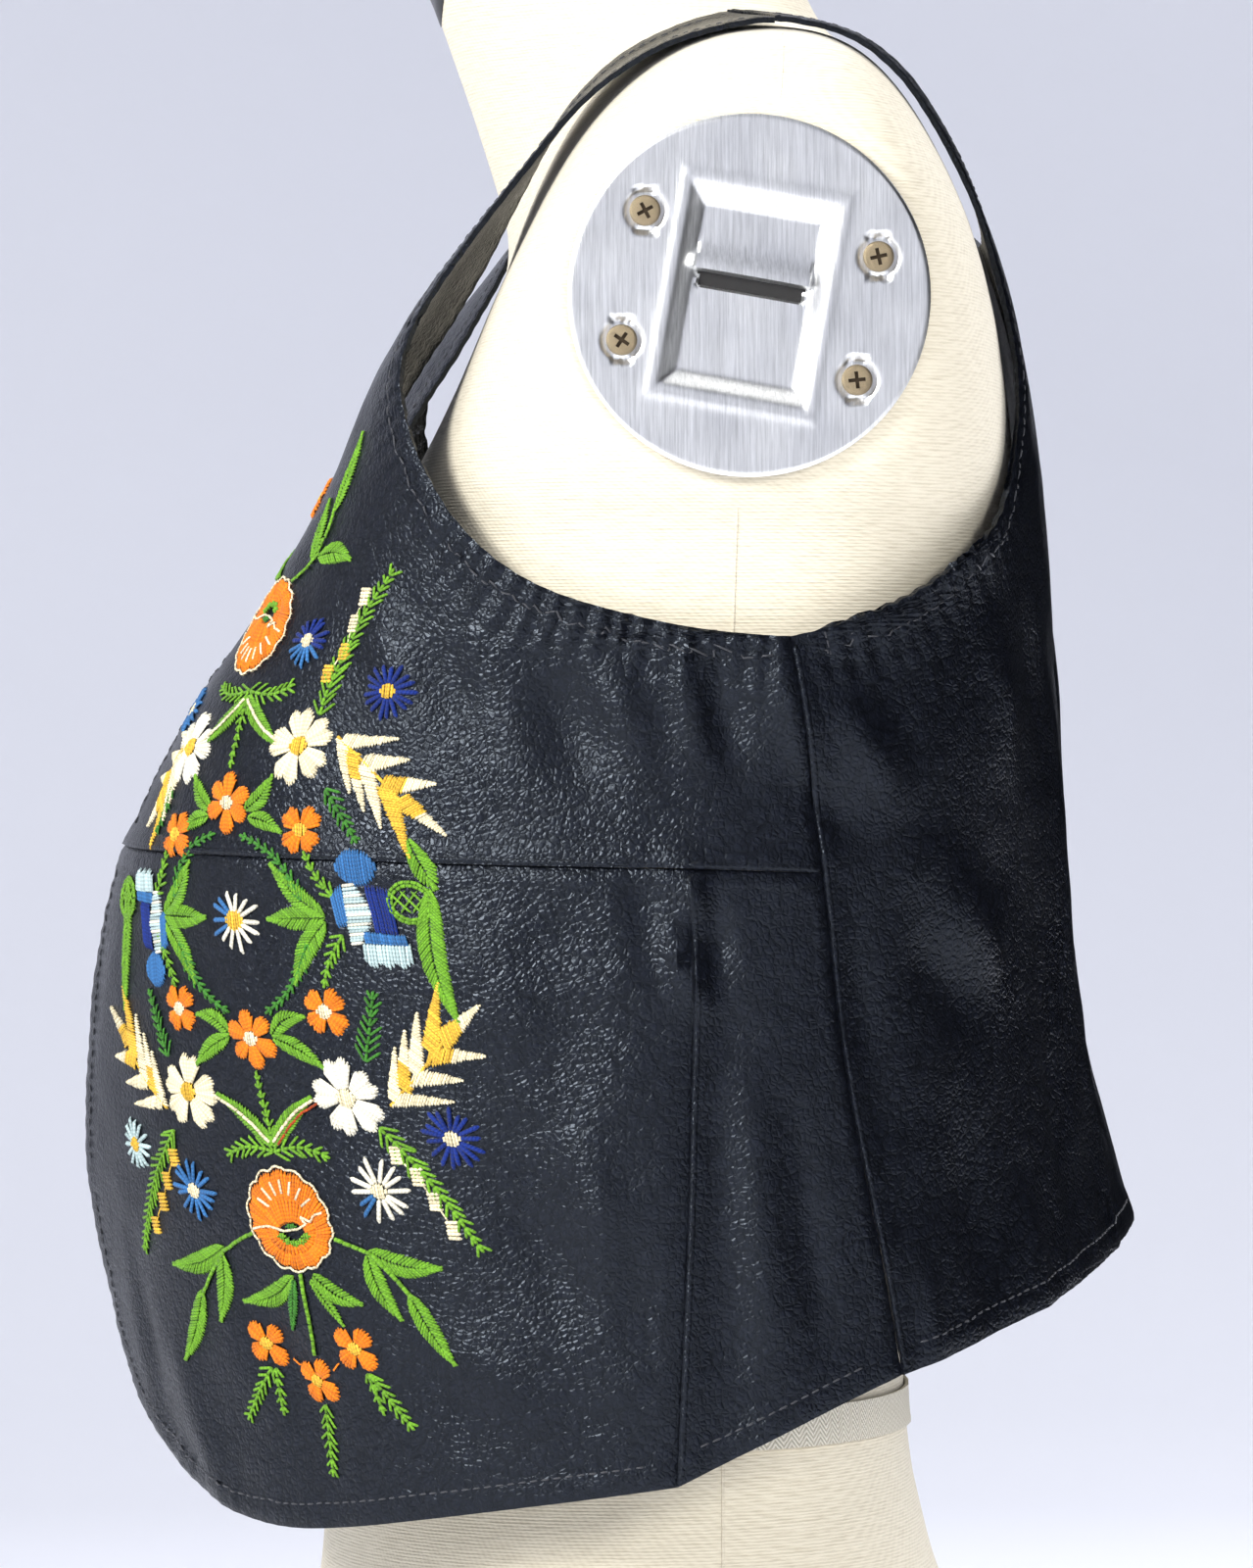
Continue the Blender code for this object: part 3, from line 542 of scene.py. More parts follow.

# Troughs and ridges, listed one by one. Columns: turn from the centre front in degrees
# and height, at both ends, then half width and height, which is negative for a trough.
CREASES = (
    (74, 0.419, 79, 0.392, 0.010, -0.0014), (80, 0.424, 84, 0.396, 0.007, 0.0011),
    (88, 0.428, 90, 0.398, 0.005, 0.0012), (91, 0.420, 94, 0.392, 0.006, -0.0009),
    (62, 0.428, 68, 0.402, 0.009, -0.0010), (55, 0.440, 60, 0.412, 0.008, 0.0008),
    (97, 0.424, 101, 0.396, 0.007, 0.0010), (103, 0.414, 110, 0.388, 0.008, 0.0014),
    (99, 0.392, 106, 0.374, 0.007, -0.0010), (116, 0.365, 126, 0.335, 0.010, 0.0014),
    (112, 0.350, 120, 0.322, 0.009, -0.0010), (104, 0.360, 108, 0.300, 0.008, -0.0009),
    (86, 0.352, 90, 0.330, 0.004, 0.0013), (84, 0.362, 86, 0.338, 0.004, -0.0012),
    (91, 0.360, 92, 0.336, 0.004, -0.0010), (89, 0.366, 90, 0.352, 0.004, 0.0012),
    (76, 0.300, 84, 0.262, 0.009, 0.0009), (70, 0.282, 80, 0.240, 0.009, -0.0009),
    (64, 0.240, 74, 0.222, 0.007, 0.0007), (82, 0.296, 84, 0.236, 0.006, -0.0009),
    (94, 0.310, 97, 0.232, 0.006, 0.0009), (99, 0.300, 102, 0.238, 0.005, -0.0008),
    (112, 0.262, 114, 0.228, 0.005, 0.0009), (118, 0.300, 122, 0.236, 0.008, -0.0011),
    (128, 0.276, 130, 0.236, 0.006, 0.0010), (138, 0.330, 142, 0.256, 0.010, -0.0012),
    (146, 0.400, 150, 0.300, 0.012, 0.0011), (154, 0.340, 156, 0.262, 0.008, 0.0012),
    (164, 0.420, 166, 0.300, 0.012, -0.0011), (132, 0.440, 140, 0.400, 0.010, -0.0010),
    (124, 0.430, 128, 0.396, 0.008, 0.0011), (44, 0.252, 52, 0.196, 0.009, -0.0008),
    (30, 0.232, 36, 0.190, 0.007, 0.0007), (82, 0.352, 83, 0.196, 0.013, 0.0012),
    (92, 0.345, 93, 0.205, 0.008, -0.0009), (68, 0.350, 74, 0.310, 0.014, 0.0009),
    (22, 0.262, 26, 0.206, 0.006, -0.0007), (38, 0.500, 34, 0.462, 0.008, -0.0008),
    (24, 0.520, 22, 0.470, 0.007, 0.0006),
)
DEGREE_ROUND = 0.0029
CREASE_FADE = 2.5


def edge_runs(piece):
    """The open edge of a skin as runs of vertex numbers in order."""
    shape = bmesh.new()
    shape.from_mesh(piece.data)
    after = {}
    for edge in shape.edges:
        if edge.is_boundary:
            loop = edge.link_loops[0]
            after[loop.vert.index] = loop.link_loop_next.vert.index
    shape.free()
    runs = []
    while after:
        start = next(iter(after))
        run = [start]
        while run[-1] in after:
            run.append(after.pop(run[-1]))
        runs.append(run)
    return runs


def bell(value, middle, width):
    """1 at the middle, falling off to both sides."""
    return math.exp(-((value - middle) / width) ** 2)


def panel_of(node):
    """The panel's own name, without the vest and the side."""
    return node[5:].rsplit("_", 1)[0]


def hold_corners(piece):
    """Keep the skin's corners sharp while it is subdivided."""
    points = piece.data.vertices
    crease = piece.data.attributes.new("crease_vert", "FLOAT", "POINT")
    for run in edge_runs(piece):
        ring = run[:-1]
        for before, number, after in zip(ring[-1:] + ring[:-1], ring, ring[1:] + ring[:1]):
            arriving = points[number].co - points[before].co
            leaving = points[after].co - points[number].co
            if arriving.angle(leaving, 0.0) > math.radians(38):
                crease.data[number].value = 1.0


def outer_skin(node, name):
    """The outer face alone of a leather wall, as quads, rounded between its points."""
    piece = copied(node, name)
    for point in piece.data.vertices:
        # At the centre-back seam the solid's neckline dips; here it runs straight across.
        if abs(point.co.x) < 0.001 and point.co.y > 0 and point.co.z > NECK_DIP:
            point.co += NECK_DIP_FILL
    bpy.ops.object.mode_set(mode="EDIT")
    shape = bmesh.from_edit_mesh(piece.data)
    for face in shape.faces:
        middle = face.calc_center_median()
        side = math.copysign(1.0, middle.x)
        body = Vector((side * 0.02, 0.03, min(middle.z, 0.45)))
        outward = (middle - body).normalized()
        rim = False
        for edge in face.edges:
            across = edge.verts[1].co - edge.verts[0].co
            through = abs(across.normalized().dot(outward)) > 0.5
            rim = rim or (through and abs(across.length - WALL) < 0.00004)
        face.select_set(rim or face.normal.dot(outward) < 0)
    bmesh.update_edit_mesh(piece.data)
    bpy.ops.mesh.delete(type="FACE")
    bpy.ops.mesh.select_all(action="SELECT")
    bpy.ops.mesh.tris_convert_to_quads(face_threshold=math.radians(60), shape_threshold=math.radians(180))
    bpy.ops.object.mode_set(mode="OBJECT")
    hold_corners(piece)
    finish_with(piece, "SUBSURF", levels=1, render_levels=1)
    return piece


def turn_of(spot):
    """Degrees round the body from the centre front, the same on both sides."""
    return math.degrees(math.atan2(abs(spot.x), 0.02 - spot.y))


def crease_lift(spot, rows, shift):
    """The height that the creases give at a place."""
    turn = turn_of(spot)
    lift = 0.0
    for turn0, z0, turn1, z1, width, height in rows:
        a = Vector(((turn0 + shift) * DEGREE_ROUND, z0))
        b = Vector(((turn1 + shift) * DEGREE_ROUND, z1))
        p = Vector((turn * DEGREE_ROUND, spot.z))
        line = b - a
        part = min(max((p - a).dot(line) / line.length_squared, 0.0), 1.0)
        away = (p - a - line * part).length / width
        if away < CREASE_FADE:
            fade = math.sin(math.pi * (0.12 + 0.76 * part))
            lift += CREASE_STRENGTH * height * fade * math.exp(-away * away)
    return lift


skins = {}
for side_name in ("left", "right"):
    for panel in PANELS:
        node = "vest_{}_{}".format(panel, side_name)
        skins[node] = outer_skin(node, "leather_{}_{}".format(panel, side_name))

# The pieces are fitted over one form, so their surfaces run on smoothly across the seams.
SEAM_REACH = 0.0013
SEAM_MEETING = 0.45
BLEND_REACH = 0.017
BLEND_WIDTH = 0.008
BLEND_RISE = 0.0006
points = [vertex for piece in skins.values() for vertex in piece.data.vertices]
crowd = KDTree(len(points))
for number, vertex in enumerate(points):
    crowd.insert(vertex.co, number)
crowd.balance()
crowds = []
for vertex in points:
    near = [(i, bell(reach, 0.0, BLEND_WIDTH)) for _, i, reach in crowd.find_range(vertex.co, BLEND_REACH)]
    crowds.append([(i, weight) for i, weight in near if points[i].normal.dot(vertex.normal) > 0.5])
normals = []
for near in crowds:
    normals.append(sum((points[i].normal * weight for i, weight in near), Vector()).normalized())
totals = [sum(weight for _, weight in near) for near in crowds]
for _ in range(4):
    rises = []
    for vertex, normal, near, total in zip(points, normals, crowds, totals):
        middle = sum((points[i].co * weight for i, weight in near), Vector()) / total
        rises.append((middle - vertex.co).dot(normal))
    for vertex, rise, normal, near, total in zip(points, rises, normals, crowds, totals):
        level = sum(rises[i] * weight for i, weight in near) / total
        vertex.co += normal * max(min(rise - level, BLEND_RISE), -BLEND_RISE)
for piece in skins.values():
    finish_with(piece, "SUBSURF", levels=2, render_levels=2)

edges = {node: edge_runs(piece) for node, piece in skins.items()}
rim = [
    (node, number, skins[node].data.vertices[number])
    for node, runs in edges.items() for run in runs for number in run
]
rim_tree = KDTree(len(rim))
for order, (_, _, vertex) in enumerate(rim):
    rim_tree.insert(vertex.co, order)
rim_tree.balance()
rim_places = [vertex.co.copy() for _, _, vertex in rim]
rim_normals = [vertex.normal.copy() for _, _, vertex in rim]
seam_normals = {}
seam_partners = {}
for node, number, vertex in rim:
    others = [i for _, i, _ in rim_tree.find_range(vertex.co, SEAM_REACH) if rim[i][0] != node]
    if others:
        closest = min(others, key=lambda i: (rim_places[i] - vertex.co).length)
        seam_normals[node, number] = (rim_normals[closest] + vertex.normal).normalized()
        seam_partners[node, number] = rim[closest][0]
        vertex.co += (rim_places[closest] - vertex.co) * SEAM_MEETING

seam_rolls = {"left": [], "right": []}
topstitch_paths = {"left": [], "right": []}
for node, piece in skins.items():
    side_name = "left" if node.endswith("left") else "right"
    points = piece.data.vertices
    free = KDTree(len(points))
    seams = KDTree(len(points))
    along_edge = {}
    free_runs = []
    for run in edges[node]:
        walked = 0.0
        current = []
        for number, before in zip(run, [run[0]] + run[:-1]):
            walked += (points[number].co - points[before].co).length
            along_edge[number] = walked
            if (node, number) in seam_normals:
                seams.insert(points[number].co, number)
                if len(current) > 3:
                    free_runs.append(current)
                current = []
            else:
                free.insert(points[number].co, number)
                current.append(number)
        if len(current) > 3:
            free_runs.append(current)
    free.balance()
    seams.balance()
    own_rank = OVERLAP[panel_of(node)]
    over_runs = []
    for run in edges[node]:
        current = []
        for number in run + [None]:
            partner = seam_partners.get((node, number))
            if partner and own_rank > OVERLAP[panel_of(partner)]:
                current.append(number)
            elif current:
                over_runs.append(current)
                current = []
    seed = 11.0 if side_name == "left" else 47.0
    shift = 0.0 if side_name == "left" else 3.5
    normals = [seam_normals.get((node, vertex.index), vertex.normal.copy()) for vertex in points]
    lifts = []
    for vertex in points:
        spot = vertex.co
        _, near, reach = free.find(spot)
        _, near_seam, seam_reach = seams.find(spot)
        over = own_rank > OVERLAP[panel_of(seam_partners[node, near_seam])]
        own = smooth_step(0.0, MEETING_HALF, abs(spot.x))
        low, high = (
            own * noise.noise(spot * scale + Vector(move)) + (1 - own) * noise.noise(spot * scale)
            for scale, move in ((22.0, (seed, 0, 0)), (70.0, (0, seed, 0)))
        )
        lift = 0.0013 * low + 0.00045 * high + crease_lift(spot, CREASES, shift * own)
        # Puckers along the turned edges, deepest under the arm.
        walked = along_edge[near]
        pull = 0.5 + 0.5 * noise.noise(Vector((walked * 28.0, seed, 0.0)))
        under_arm = math.exp(-((turn_of(spot) - 88) / 34) ** 2 - ((spot.z - 0.435) / 0.035) ** 2)
        sway = 3 * noise.noise(Vector((walked * 60.0, 0.0, seed)))
        pucker = math.sin(2 * math.pi * walked / PUCKER_LENGTH + sway)
        pucker *= 0.00010 + 0.00024 * pull + 0.00062 * under_arm
        lift += pucker * bell(reach, 0.006, 0.0075 + 0.008 * under_arm)
        # The turned edge's thickness, the groove of its topstitching and its rounded fold.
        lift += 0.00042 * (1 - smooth_step(TURNED_EDGE - 0.0008, TURNED_EDGE + 0.0006, reach))
        lift -= 0.00035 * bell(reach, TOPSTITCH_IN, 0.0011)
        lift -= 0.00045 * bell(reach, 0.0, 0.0009)
        # The pressed seam: the piece that lies over stands up, the other dips under it.
        lift += (0.00060 if over else 0.00030) * bell(seam_reach, 0.0030, 0.0020)
        lift += (0.00035 if over else -0.00075) * bell(seam_reach, 0.0, 0.0016)
        lift *= 1 - 0.5 * smooth_step(0.50, 0.56, spot.z)
        _, _, _, room = cover_faces.ray_cast(spot, -normals[vertex.index], 0.03)
        if room is not None:
            lift = max(lift, SHELL + CLEARANCE - room)
        lifts.append(lift)
    for vertex, normal, lift in zip(points, normals, lifts):
        vertex.co += normal * lift
    piece.data.update()
    faces = BVHTree.FromPolygons([v.co for v in points], [f.vertices for f in piece.data.polygons])
    for run in over_runs:
        path = []
        for before, number in zip(run, run[1:]):
            step = points[number].co - points[before].co
            inward = points[number].normal.cross(step).normalized()
            spot, normal, _, _ = faces.find_nearest(points[number].co + inward * ROLL_IN)
            path.append((spot - normal * ROLL_SUNK, normal))
        if len(path) > 6:
            seam_rolls[side_name].append(path)
    for run in free_runs:
        walked = 0.0
        path = []
        for before, number in zip(run, run[1:]):
            step = points[number].co - points[before].co
            inward = points[number].normal.cross(step).normalized()
            walked += step.length
            spot, normal, _, _ = faces.find_nearest(points[number].co + inward * TOPSTITCH_IN)
            path.append((walked, spot, normal))
        topstitch_paths[side_name].append(path)

leather, tree, shader = new_material(
    "black_leather", 0.40, Specular_IOR_Level=0.28, Specular_Tint=(0.78, 0.88, 1.0, 1.0))
place = add_node(tree, "TexCoord").outputs["Object"]
bend = add_node(tree, "TexNoise", place, Scale=90.0, Detail=3.0)
bent = add_node(tree, "VectorMath", bend.outputs["Color"], (0.0026, 0.0026, 0.0026), place,
                operation="MULTIPLY_ADD").outputs["Vector"]
pebble = add_node(tree, "TexVoronoi", bent, feature="DISTANCE_TO_EDGE", Scale=620.0)
wrinkle = add_node(tree, "TexVoronoi", bent, feature="DISTANCE_TO_EDGE", Scale=210.0)
fine = add_node(tree, "TexNoise", bent, Scale=900.0, Detail=5.0, Roughness=0.6)
patch = add_node(tree, "TexNoise", bent, Scale=30.0, Detail=3.0)
deep = add_node(tree, "MapRange", wrinkle.outputs["Distance"], From_Max=0.22)
small = add_node(tree, "MapRange", pebble.outputs["Distance"], From_Max=0.30)
mixed = add_node(tree, "Mix", data_type="FLOAT", Factor=0.45, A=small.outputs["Result"],
                 B=deep.outputs["Result"]).outputs["Result"]
grained = add_node(tree, "Math", fine.outputs["Fac"], 0.3, mixed, operation="MULTIPLY_ADD")
gloss = add_node(tree, "MapRange", patch.outputs["Fac"], From_Min=0.3, From_Max=0.7,
                 To_Min=0.26, To_Max=0.38)
feed(shader.inputs["Roughness"], gloss.outputs["Result"])
tint(shader, mixed, (0.0015, 0.0017, 0.0024), (0.0055, 0.0065, 0.0105))
bump(shader, grained.outputs["Value"], 0.00021)
flesh_side = flecked("leather_flesh_side", 0.95, 800.0, 3.0, (0.002, 0.002, 0.003), (0.008, 0.008, 0.010),
                     Specular_IOR_Level=0.05)

# Each piece gets the leather's thickness, with the flesh side on its inner face, and its materials.
for node, piece in skins.items():
    finish_with(piece, "SOLIDIFY", thickness=SHELL, offset=-1.0, use_quality_normals=True,
                material_offset=1)
    bpy.ops.object.shade_smooth_by_angle(angle=math.radians(60))
    piece.data.materials.append(leather)
    piece.data.materials.append(flesh_side)
    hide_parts(node)
    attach(piece, "root")


# Seam rolls: where a piece lies over the next, its folded edge stands up as a fine ridge
# of the same leather along the seam.
for side_name, paths in seam_rolls.items():
    rolls = tube_mesh("seam_rolls_" + side_name, paths, 8, ROLL_RADIUS, flat=0.7)
    rolls.data.materials.append(leather)
    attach(rolls, "root")


# Topstitching: black thread in even machine stitches through the turned edges, sunk
# into the leather at both ends of each stitch.
STITCH_STEP = 0.0033
STITCH_LENGTH = 0.0026
THREAD_RADIUS = 0.00027
# Part of the way along a stitch, and the height there.
STITCH_PROFILE = ((0.0, -0.0002), (0.25, 0.00008), (0.75, 0.00008), (1.0, -0.0002))

black_thread = flecked("black_thread", 0.5, 1500.0, 2.0, (0.008, 0.009, 0.012), (0.045, 0.047, 0.055),
                       relief=0.0001, Sheen_Weight=0.2)


def place_along(path, distance):
    """The place and normal at a distance along a path of (distance, place, normal)."""
    for (d0, p0, n0), (d1, p1, n1) in zip(path, path[1:]):
        if d0 <= distance <= d1:
            part = (distance - d0) / max(d1 - d0, 1e-9)
            return p0.lerp(p1, part), n0.lerp(n1, part).normalized()
    return path[-1][1], path[-1][2]


for side_name, paths in topstitch_paths.items():
    strands = []
    for path in paths:
        start = path[0][0] + STITCH_STEP
        end = path[-1][0] - STITCH_STEP
        for number in range(int((end - start) / STITCH_STEP)):
            strand = []
            for part, rise in STITCH_PROFILE:
                spot, normal = place_along(path, start + number * STITCH_STEP + part * STITCH_LENGTH)
                strand.append((spot + normal * rise, normal))
            if (strand[-1][0] - strand[0][0]).length > 0.4 * STITCH_LENGTH:
                strands.append(strand)
    stitching = tube_mesh("topstitching_" + side_name, strands, 5, THREAD_RADIUS)
    stitching.data.materials.append(black_thread)
    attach(stitching, "root")


# Embroidery: coloured cotton yarn, worked by hand through both fronts in satin stitch,
# fishbone stitch and straight stitches. The right front mirrors the left.

# The chart is in millimetres: across, towards the side seam, and up, from the middle
# daisy. Its axis leans: how far up, height, and degrees round from the centre front.
CHART_AXIS = (
    (-168, 0.190, 53.3), (-135, 0.2213, 50.3), (-105, 0.2499, 47.6), (-75, 0.2788, 45.1),
    (-45, 0.3079, 42.8), (-15, 0.3372, 40.9), (0, 0.352, 40.2), (15, 0.3667, 39.2), (45, 0.396, 38.0),
    (75, 0.4243, 38.2), (105, 0.452, 39.5), (135, 0.4797, 42.1), (156, 0.4985, 43.9),
)
ROW_STEP = 3
FIRST_ROW = -168
YARN = {
    "orange": (232, 124, 16), "rust": (170, 66, 20), "cream": (240, 226, 186), "white": (238, 232, 210),
    "yellow": (232, 184, 62), "green": (108, 160, 40), "dark_green": (62, 124, 40), "navy": (16, 44, 118),
    "blue": (54, 108, 162), "pale_blue": (184, 206, 204),
}
pattern = {colour: [] for colour in YARN}


def on_circle(x, y, angle, radius):
    """The place at an angle on a circle."""
    return x + radius * math.cos(angle), y + radius * math.sin(angle)


def length_of(line):
    """The length of a line of places."""
    return sum((Vector(b) - Vector(a)).length for a, b in zip(line, line[1:]))


def sew(a, b, colour, radius=0.42, lift=0.35):
    """One stitch between two places on the chart."""
    ends = [
        Vector((spot[0] + random.uniform(-0.14, 0.14), spot[1] + random.uniform(-0.14, 0.14)))
        for spot in (a, b)
    ]
    pattern[colour].append((*ends, radius, lift + random.uniform(0.0, 0.14), random.uniform(0.70, 1.10)))


def along(line, part):
    """The place a part of the way along a line of places."""
    reach = part * (len(line) - 1)
    number = min(int(reach), len(line) - 2)
    a, b = Vector(line[number]), Vector(line[number + 1])
    return a.lerp(b, reach - number)


def fill(one, other, colour, step=0.78, radius=0.45, lift=0.35):
    """Satin stitches from one line of places to another."""
    count = max(int(max(length_of(one), length_of(other)) / step), 2)
    for number in range(count + 1):
        sew(along(one, number / count), along(other, number / count), colour, radius, lift)


def spot_of(x, y, half_width, half_height, colour, lift=0.55):
    """A round spot of satin stitches."""
    count = max(int(2 * half_width / 0.75), 3)
    for number in range(count + 1):
        away = -1 + 2 * number / count
        half = half_height * math.sqrt(max(1 - 0.9 * away * away, 0.0))
        sew((x + away * half_width, y - half), (x + away * half_width, y + half), colour, 0.44, lift)


def knot(x, y, colour):
    """A small square of satin stitches."""
    left, right = (((x + a, y - 2.1), (x + a, y + 2.1)) for a in (-2.0, 2.0))
    fill(left, right, colour, 0.85, 0.5, 0.4)


def petal(x, y, turn, inner, outer, half_turn, count, colour, notch=0.0):
    """A fan of long stitches."""
    for number in range(count):
        away = -1 + 2 * number / (count - 1)
        angle = math.radians(turn + away * half_turn)
        reach = outer * (1 - 0.20 * abs(away) ** 2.5 - notch * bell(away, 0.0, 0.3))
        start = inner * (1 + 0.3 * abs(away))
        lift = 0.35 + 0.12 * (1 - abs(away))
        sew(on_circle(x, y, angle, start), on_circle(x, y, angle, reach), colour, 0.56, lift)


def flower(x, y, petals, outer, colour, centre, turn=90.0, half_turn=None, count=8, notch=0.0, middle=2.1):
    """A flower of satin petals round a spot."""
    half_turn = half_turn or 122 / petals
    for number in range(petals):
        petal(x, y, turn + 360 / petals * number + random.uniform(-4, 4), 0.16 * outer,
              outer * random.uniform(0.93, 1.04), half_turn, count, colour, notch)
    spot_of(x, y, middle, middle * 1.15, centre, 0.75)


def daisy(x, y, outer, colour, centre, rays=15, other=None, others=(0, 0), middle=2.2):
    """Single straight stitches round a spot."""
    for number in range(rays):
        turn = 360 * number / rays + random.uniform(-5, 5)
        angle = math.radians(turn)
        reach = outer * random.uniform(0.84, 1.06)
        own = other if other and others[0] <= turn <= others[1] else colour
        sew(on_circle(x, y, angle, 0.2 * outer), on_circle(x, y, angle, reach), own, 0.7, 0.4)
    spot_of(x, y, middle, middle * 1.2, centre, 0.65)


def curve(base, tip, bend, part):
    """A place on a bent line from base to tip, and the direction across it."""
    a, b = Vector(base), Vector(tip)
    across = Vector((a.y - b.y, b.x - a.x)).normalized()
    return a.lerp(b, part) + across * bend * math.sin(math.pi * part), across


def leaf(base, tip, width, bend=0.0, full=0.8, colour="green"):
    """Fishbone stitches from the rib of a leaf to its edges."""
    length = (Vector(tip) - Vector(base)).length
    count = max(int(length / 0.95), 4)
    for number in range(count):
        rib, _ = curve(base, tip, bend, number / count)
        reach = min(number / count + 0.45 * width / length, 1.0)
        edge, across = curve(base, tip, bend, reach)
        half = 0.5 * width * math.sin(math.pi * min(reach, 0.97) ** full) ** 0.8
        for hand in (1, -1):
            sew(rib, edge + across * half * hand, colour, 0.42, 0.35)


FERN_STEP = 2.5


def fern(base, tip, needle=4.6, bend=0.0, colour="green"):
    """A stem with straight stitches in pairs."""
    count = max(int(length_of((base, tip)) / FERN_STEP), 3)
    for number in range(count):
        a, _ = curve(base, tip, bend, number / count)
        b, _ = curve(base, tip, bend, (number + 1) / count)
        sew(a, b, colour, 0.5, 0.4)
        onward = (b - a).normalized()
        size = needle * (1 - 0.5 * number / count) * random.uniform(0.8, 1.15)
        for hand in (1, -1):
            turn = math.radians(38 * hand + random.uniform(-7, 7))
            c, s = math.cos(turn), math.sin(turn)
            aside = Vector((onward.x * c - onward.y * s, onward.x * s + onward.y * c))
            sew(a, a + aside * size, colour, 0.44, 0.3)


ROPE_OVERLAP = 1.12


def rope(line, colour, radius=0.42, step=2.2, lift=0.45):
    """Short stitches one after another along a line."""
    count = max(int(length_of(line) / step), 1)
    for number in range(count):
        end = min((number + ROPE_OVERLAP) / count, 1.0)
        sew(along(line, number / count), along(line, end), colour, radius, lift)


def ring(x, y, rx, ry, colour, waves=0, radius=0.34, lift=0.6):
    """A closed line of short stitches, scalloped if it has waves."""
    line = []
    for step in range(85):
        turn = 2 * math.pi * step / 84
        swell = 1 + (0.075 * abs(math.sin(turn * waves / 2)) - 0.03 if waves else 0.0)
        line.append((x + rx * swell * math.cos(turn), y + ry * swell * math.sin(turn)))
    rope(line, colour, radius, 1.7, lift)


CURL = (
    (-13.6, -3.0), (-10.5, -2.2), (-7, -2.0), (-2, -3.2), (3, -2.6), (6.4, -1.2), (4.6, 0.8), (8.0, -0.6),
    (9.6, 1.4), (12.6, 2.2),
)


def carnation(x, y, up):
    """The large orange flower: two rounds of long stitches, cream ribs and scallops, green knots."""
    heart_y = y - 3.6 * up
    for number in range(84):
        angle = 2 * math.pi * number / 84
        out = Vector((math.cos(angle), math.sin(angle)))
        edge = Vector((x, y)) + out * (13.6 + 0.9 * abs(math.sin(7 * angle)))
        heart = Vector((x, heart_y)) + Vector((out.x * 4.6, out.y * 2.4))
        split = heart.lerp(edge, 0.45)
        sew(split.lerp(heart, 0.12), edge, "orange", 0.56, 0.4)
        if number % 2 == 0:
            sew(heart, split.lerp(edge, 0.2), "orange", 0.64, 0.32)
    ring(x, y, 14.2, 14.2, "cream", 14)
    for number in range(7):
        angle = math.radians(32 + 19.5 * number) * up
        out = Vector((math.cos(angle), math.sin(angle)))
        sew(Vector((x, y)) + out * 6.6, Vector((x, y)) + out * 11.8, "cream", 0.4, 0.85)
    for number in range(5):
        turn = math.radians(200 + 35 * number) * up
        spot_of(x + 1 + 4.6 * math.cos(turn), heart_y + 3.0 * math.sin(turn), 1.25, 1.2, "green", 0.75)
    spot_of(x + 0.8, heart_y + 1.7 * up, 1.7, 1.0, "dark_green", 0.8)
    rope([(x + a, y + b * up) for a, b in CURL], "cream", 0.36, 1.8, 0.9)


SPIKES = (
    ((43.0, -49.5), (46, -35), 4.6, "cream", "cream"), ((46.5, -46), (50, -30), 5.4, "yellow", "cream"),
    ((51, -42), (55, -25), 6.0, "cream", "cream"), ((57, -36), (63, -17), 6.6, "yellow", "yellow"),
    ((61, -33), (74, -23), 6.4, "yellow", "cream"), ((56, -37), (72, -37), 6.6, "yellow", "cream"),
    ((50, -43), (64, -44), 6.0, "cream", "cream"), ((43, -49), (60, -50), 5.0, "cream", "cream"),
)


def wheat(place):
    """An ear of wheat: tapered spikes of slanting stitches, each laid where place() puts it."""
    for base, tip, width, inner, outer in SPIKES:
        a, b = Vector(place(base)), Vector(place(tip))
        onward = (b - a).normalized()
        slant = Vector((-onward.y + 0.5 * onward.x, onward.x + 0.5 * onward.y)).normalized()
        count = max(int((b - a).length / 0.78), 5)
        for number in range(count + 1):
            part = number / count
            half = 0.5 * width * (1 - part) ** 0.8 * random.uniform(0.85, 1.1) + 0.4
            spot = a.lerp(b, part)
            sew(spot - slant * half, spot + slant * half, inner if part < 0.45 else outer, 0.42, 0.4)
    rope([place((41, -51)), place((51, -43)), place((62, -32))], "yellow", 0.5, 2.4, 0.35)


def cornflower(place):
    """The blue flower seen from the side: a ball, a pale striped bell and a scalloped flare."""
    for number in range(15):
        away = -1 + 2 * number / 14
        half = 5.4 * math.sqrt(1 - 0.93 * away * away)
        x = 43.5 + 5.8 * away
        sew(place((x, 15.2 - half)), place((x, 15.2 + half)), "blue", 0.48, 0.4)
    sides = (
        ("blue", ((34.4, 8.5), (37.6, 10.5)), ((35.2, -1.5), (38.4, -1.0))),
        ("navy", ((45.6, 10.5), (51.2, 9.5)), ((46.8, -4.0), (52.6, -4.2))),
        ("blue", ((43.0, -2.6), (54.8, -3.6)), ((43.6, -6.4), (55.4, -6.8))),
    )
    for colour, top, bottom in sides:
        fill([place(spot) for spot in top], [place(spot) for spot in bottom], colour, 0.78, 0.47, 0.4)
    for number in range(19):
        y = 10.0 - 16.6 * number / 18
        right = 47.0 - abs(y - 2.0) * 0.55
        colour = "pale_blue" if number % 3 else "white"
        sew(place((37.2 + 0.12 * abs(y - 2), y)), place((right, y + 0.5)), colour, 0.48, 0.55)
    for number in range(15):
        x = 42.6 + 13.4 * number / 14
        low = -11.6 - 1.6 * abs(math.sin(number * 0.68))
        sew(place((x, -6.0)), place((x + 0.2, low)), "pale_blue", 0.5, 0.5)


def mirrored(squash=1.0, rise=0.0, flip=1.0):
    """A rule that puts a place on the other half of the chart."""
    return lambda spot: (-spot[0] * squash, flip * spot[1] + rise)


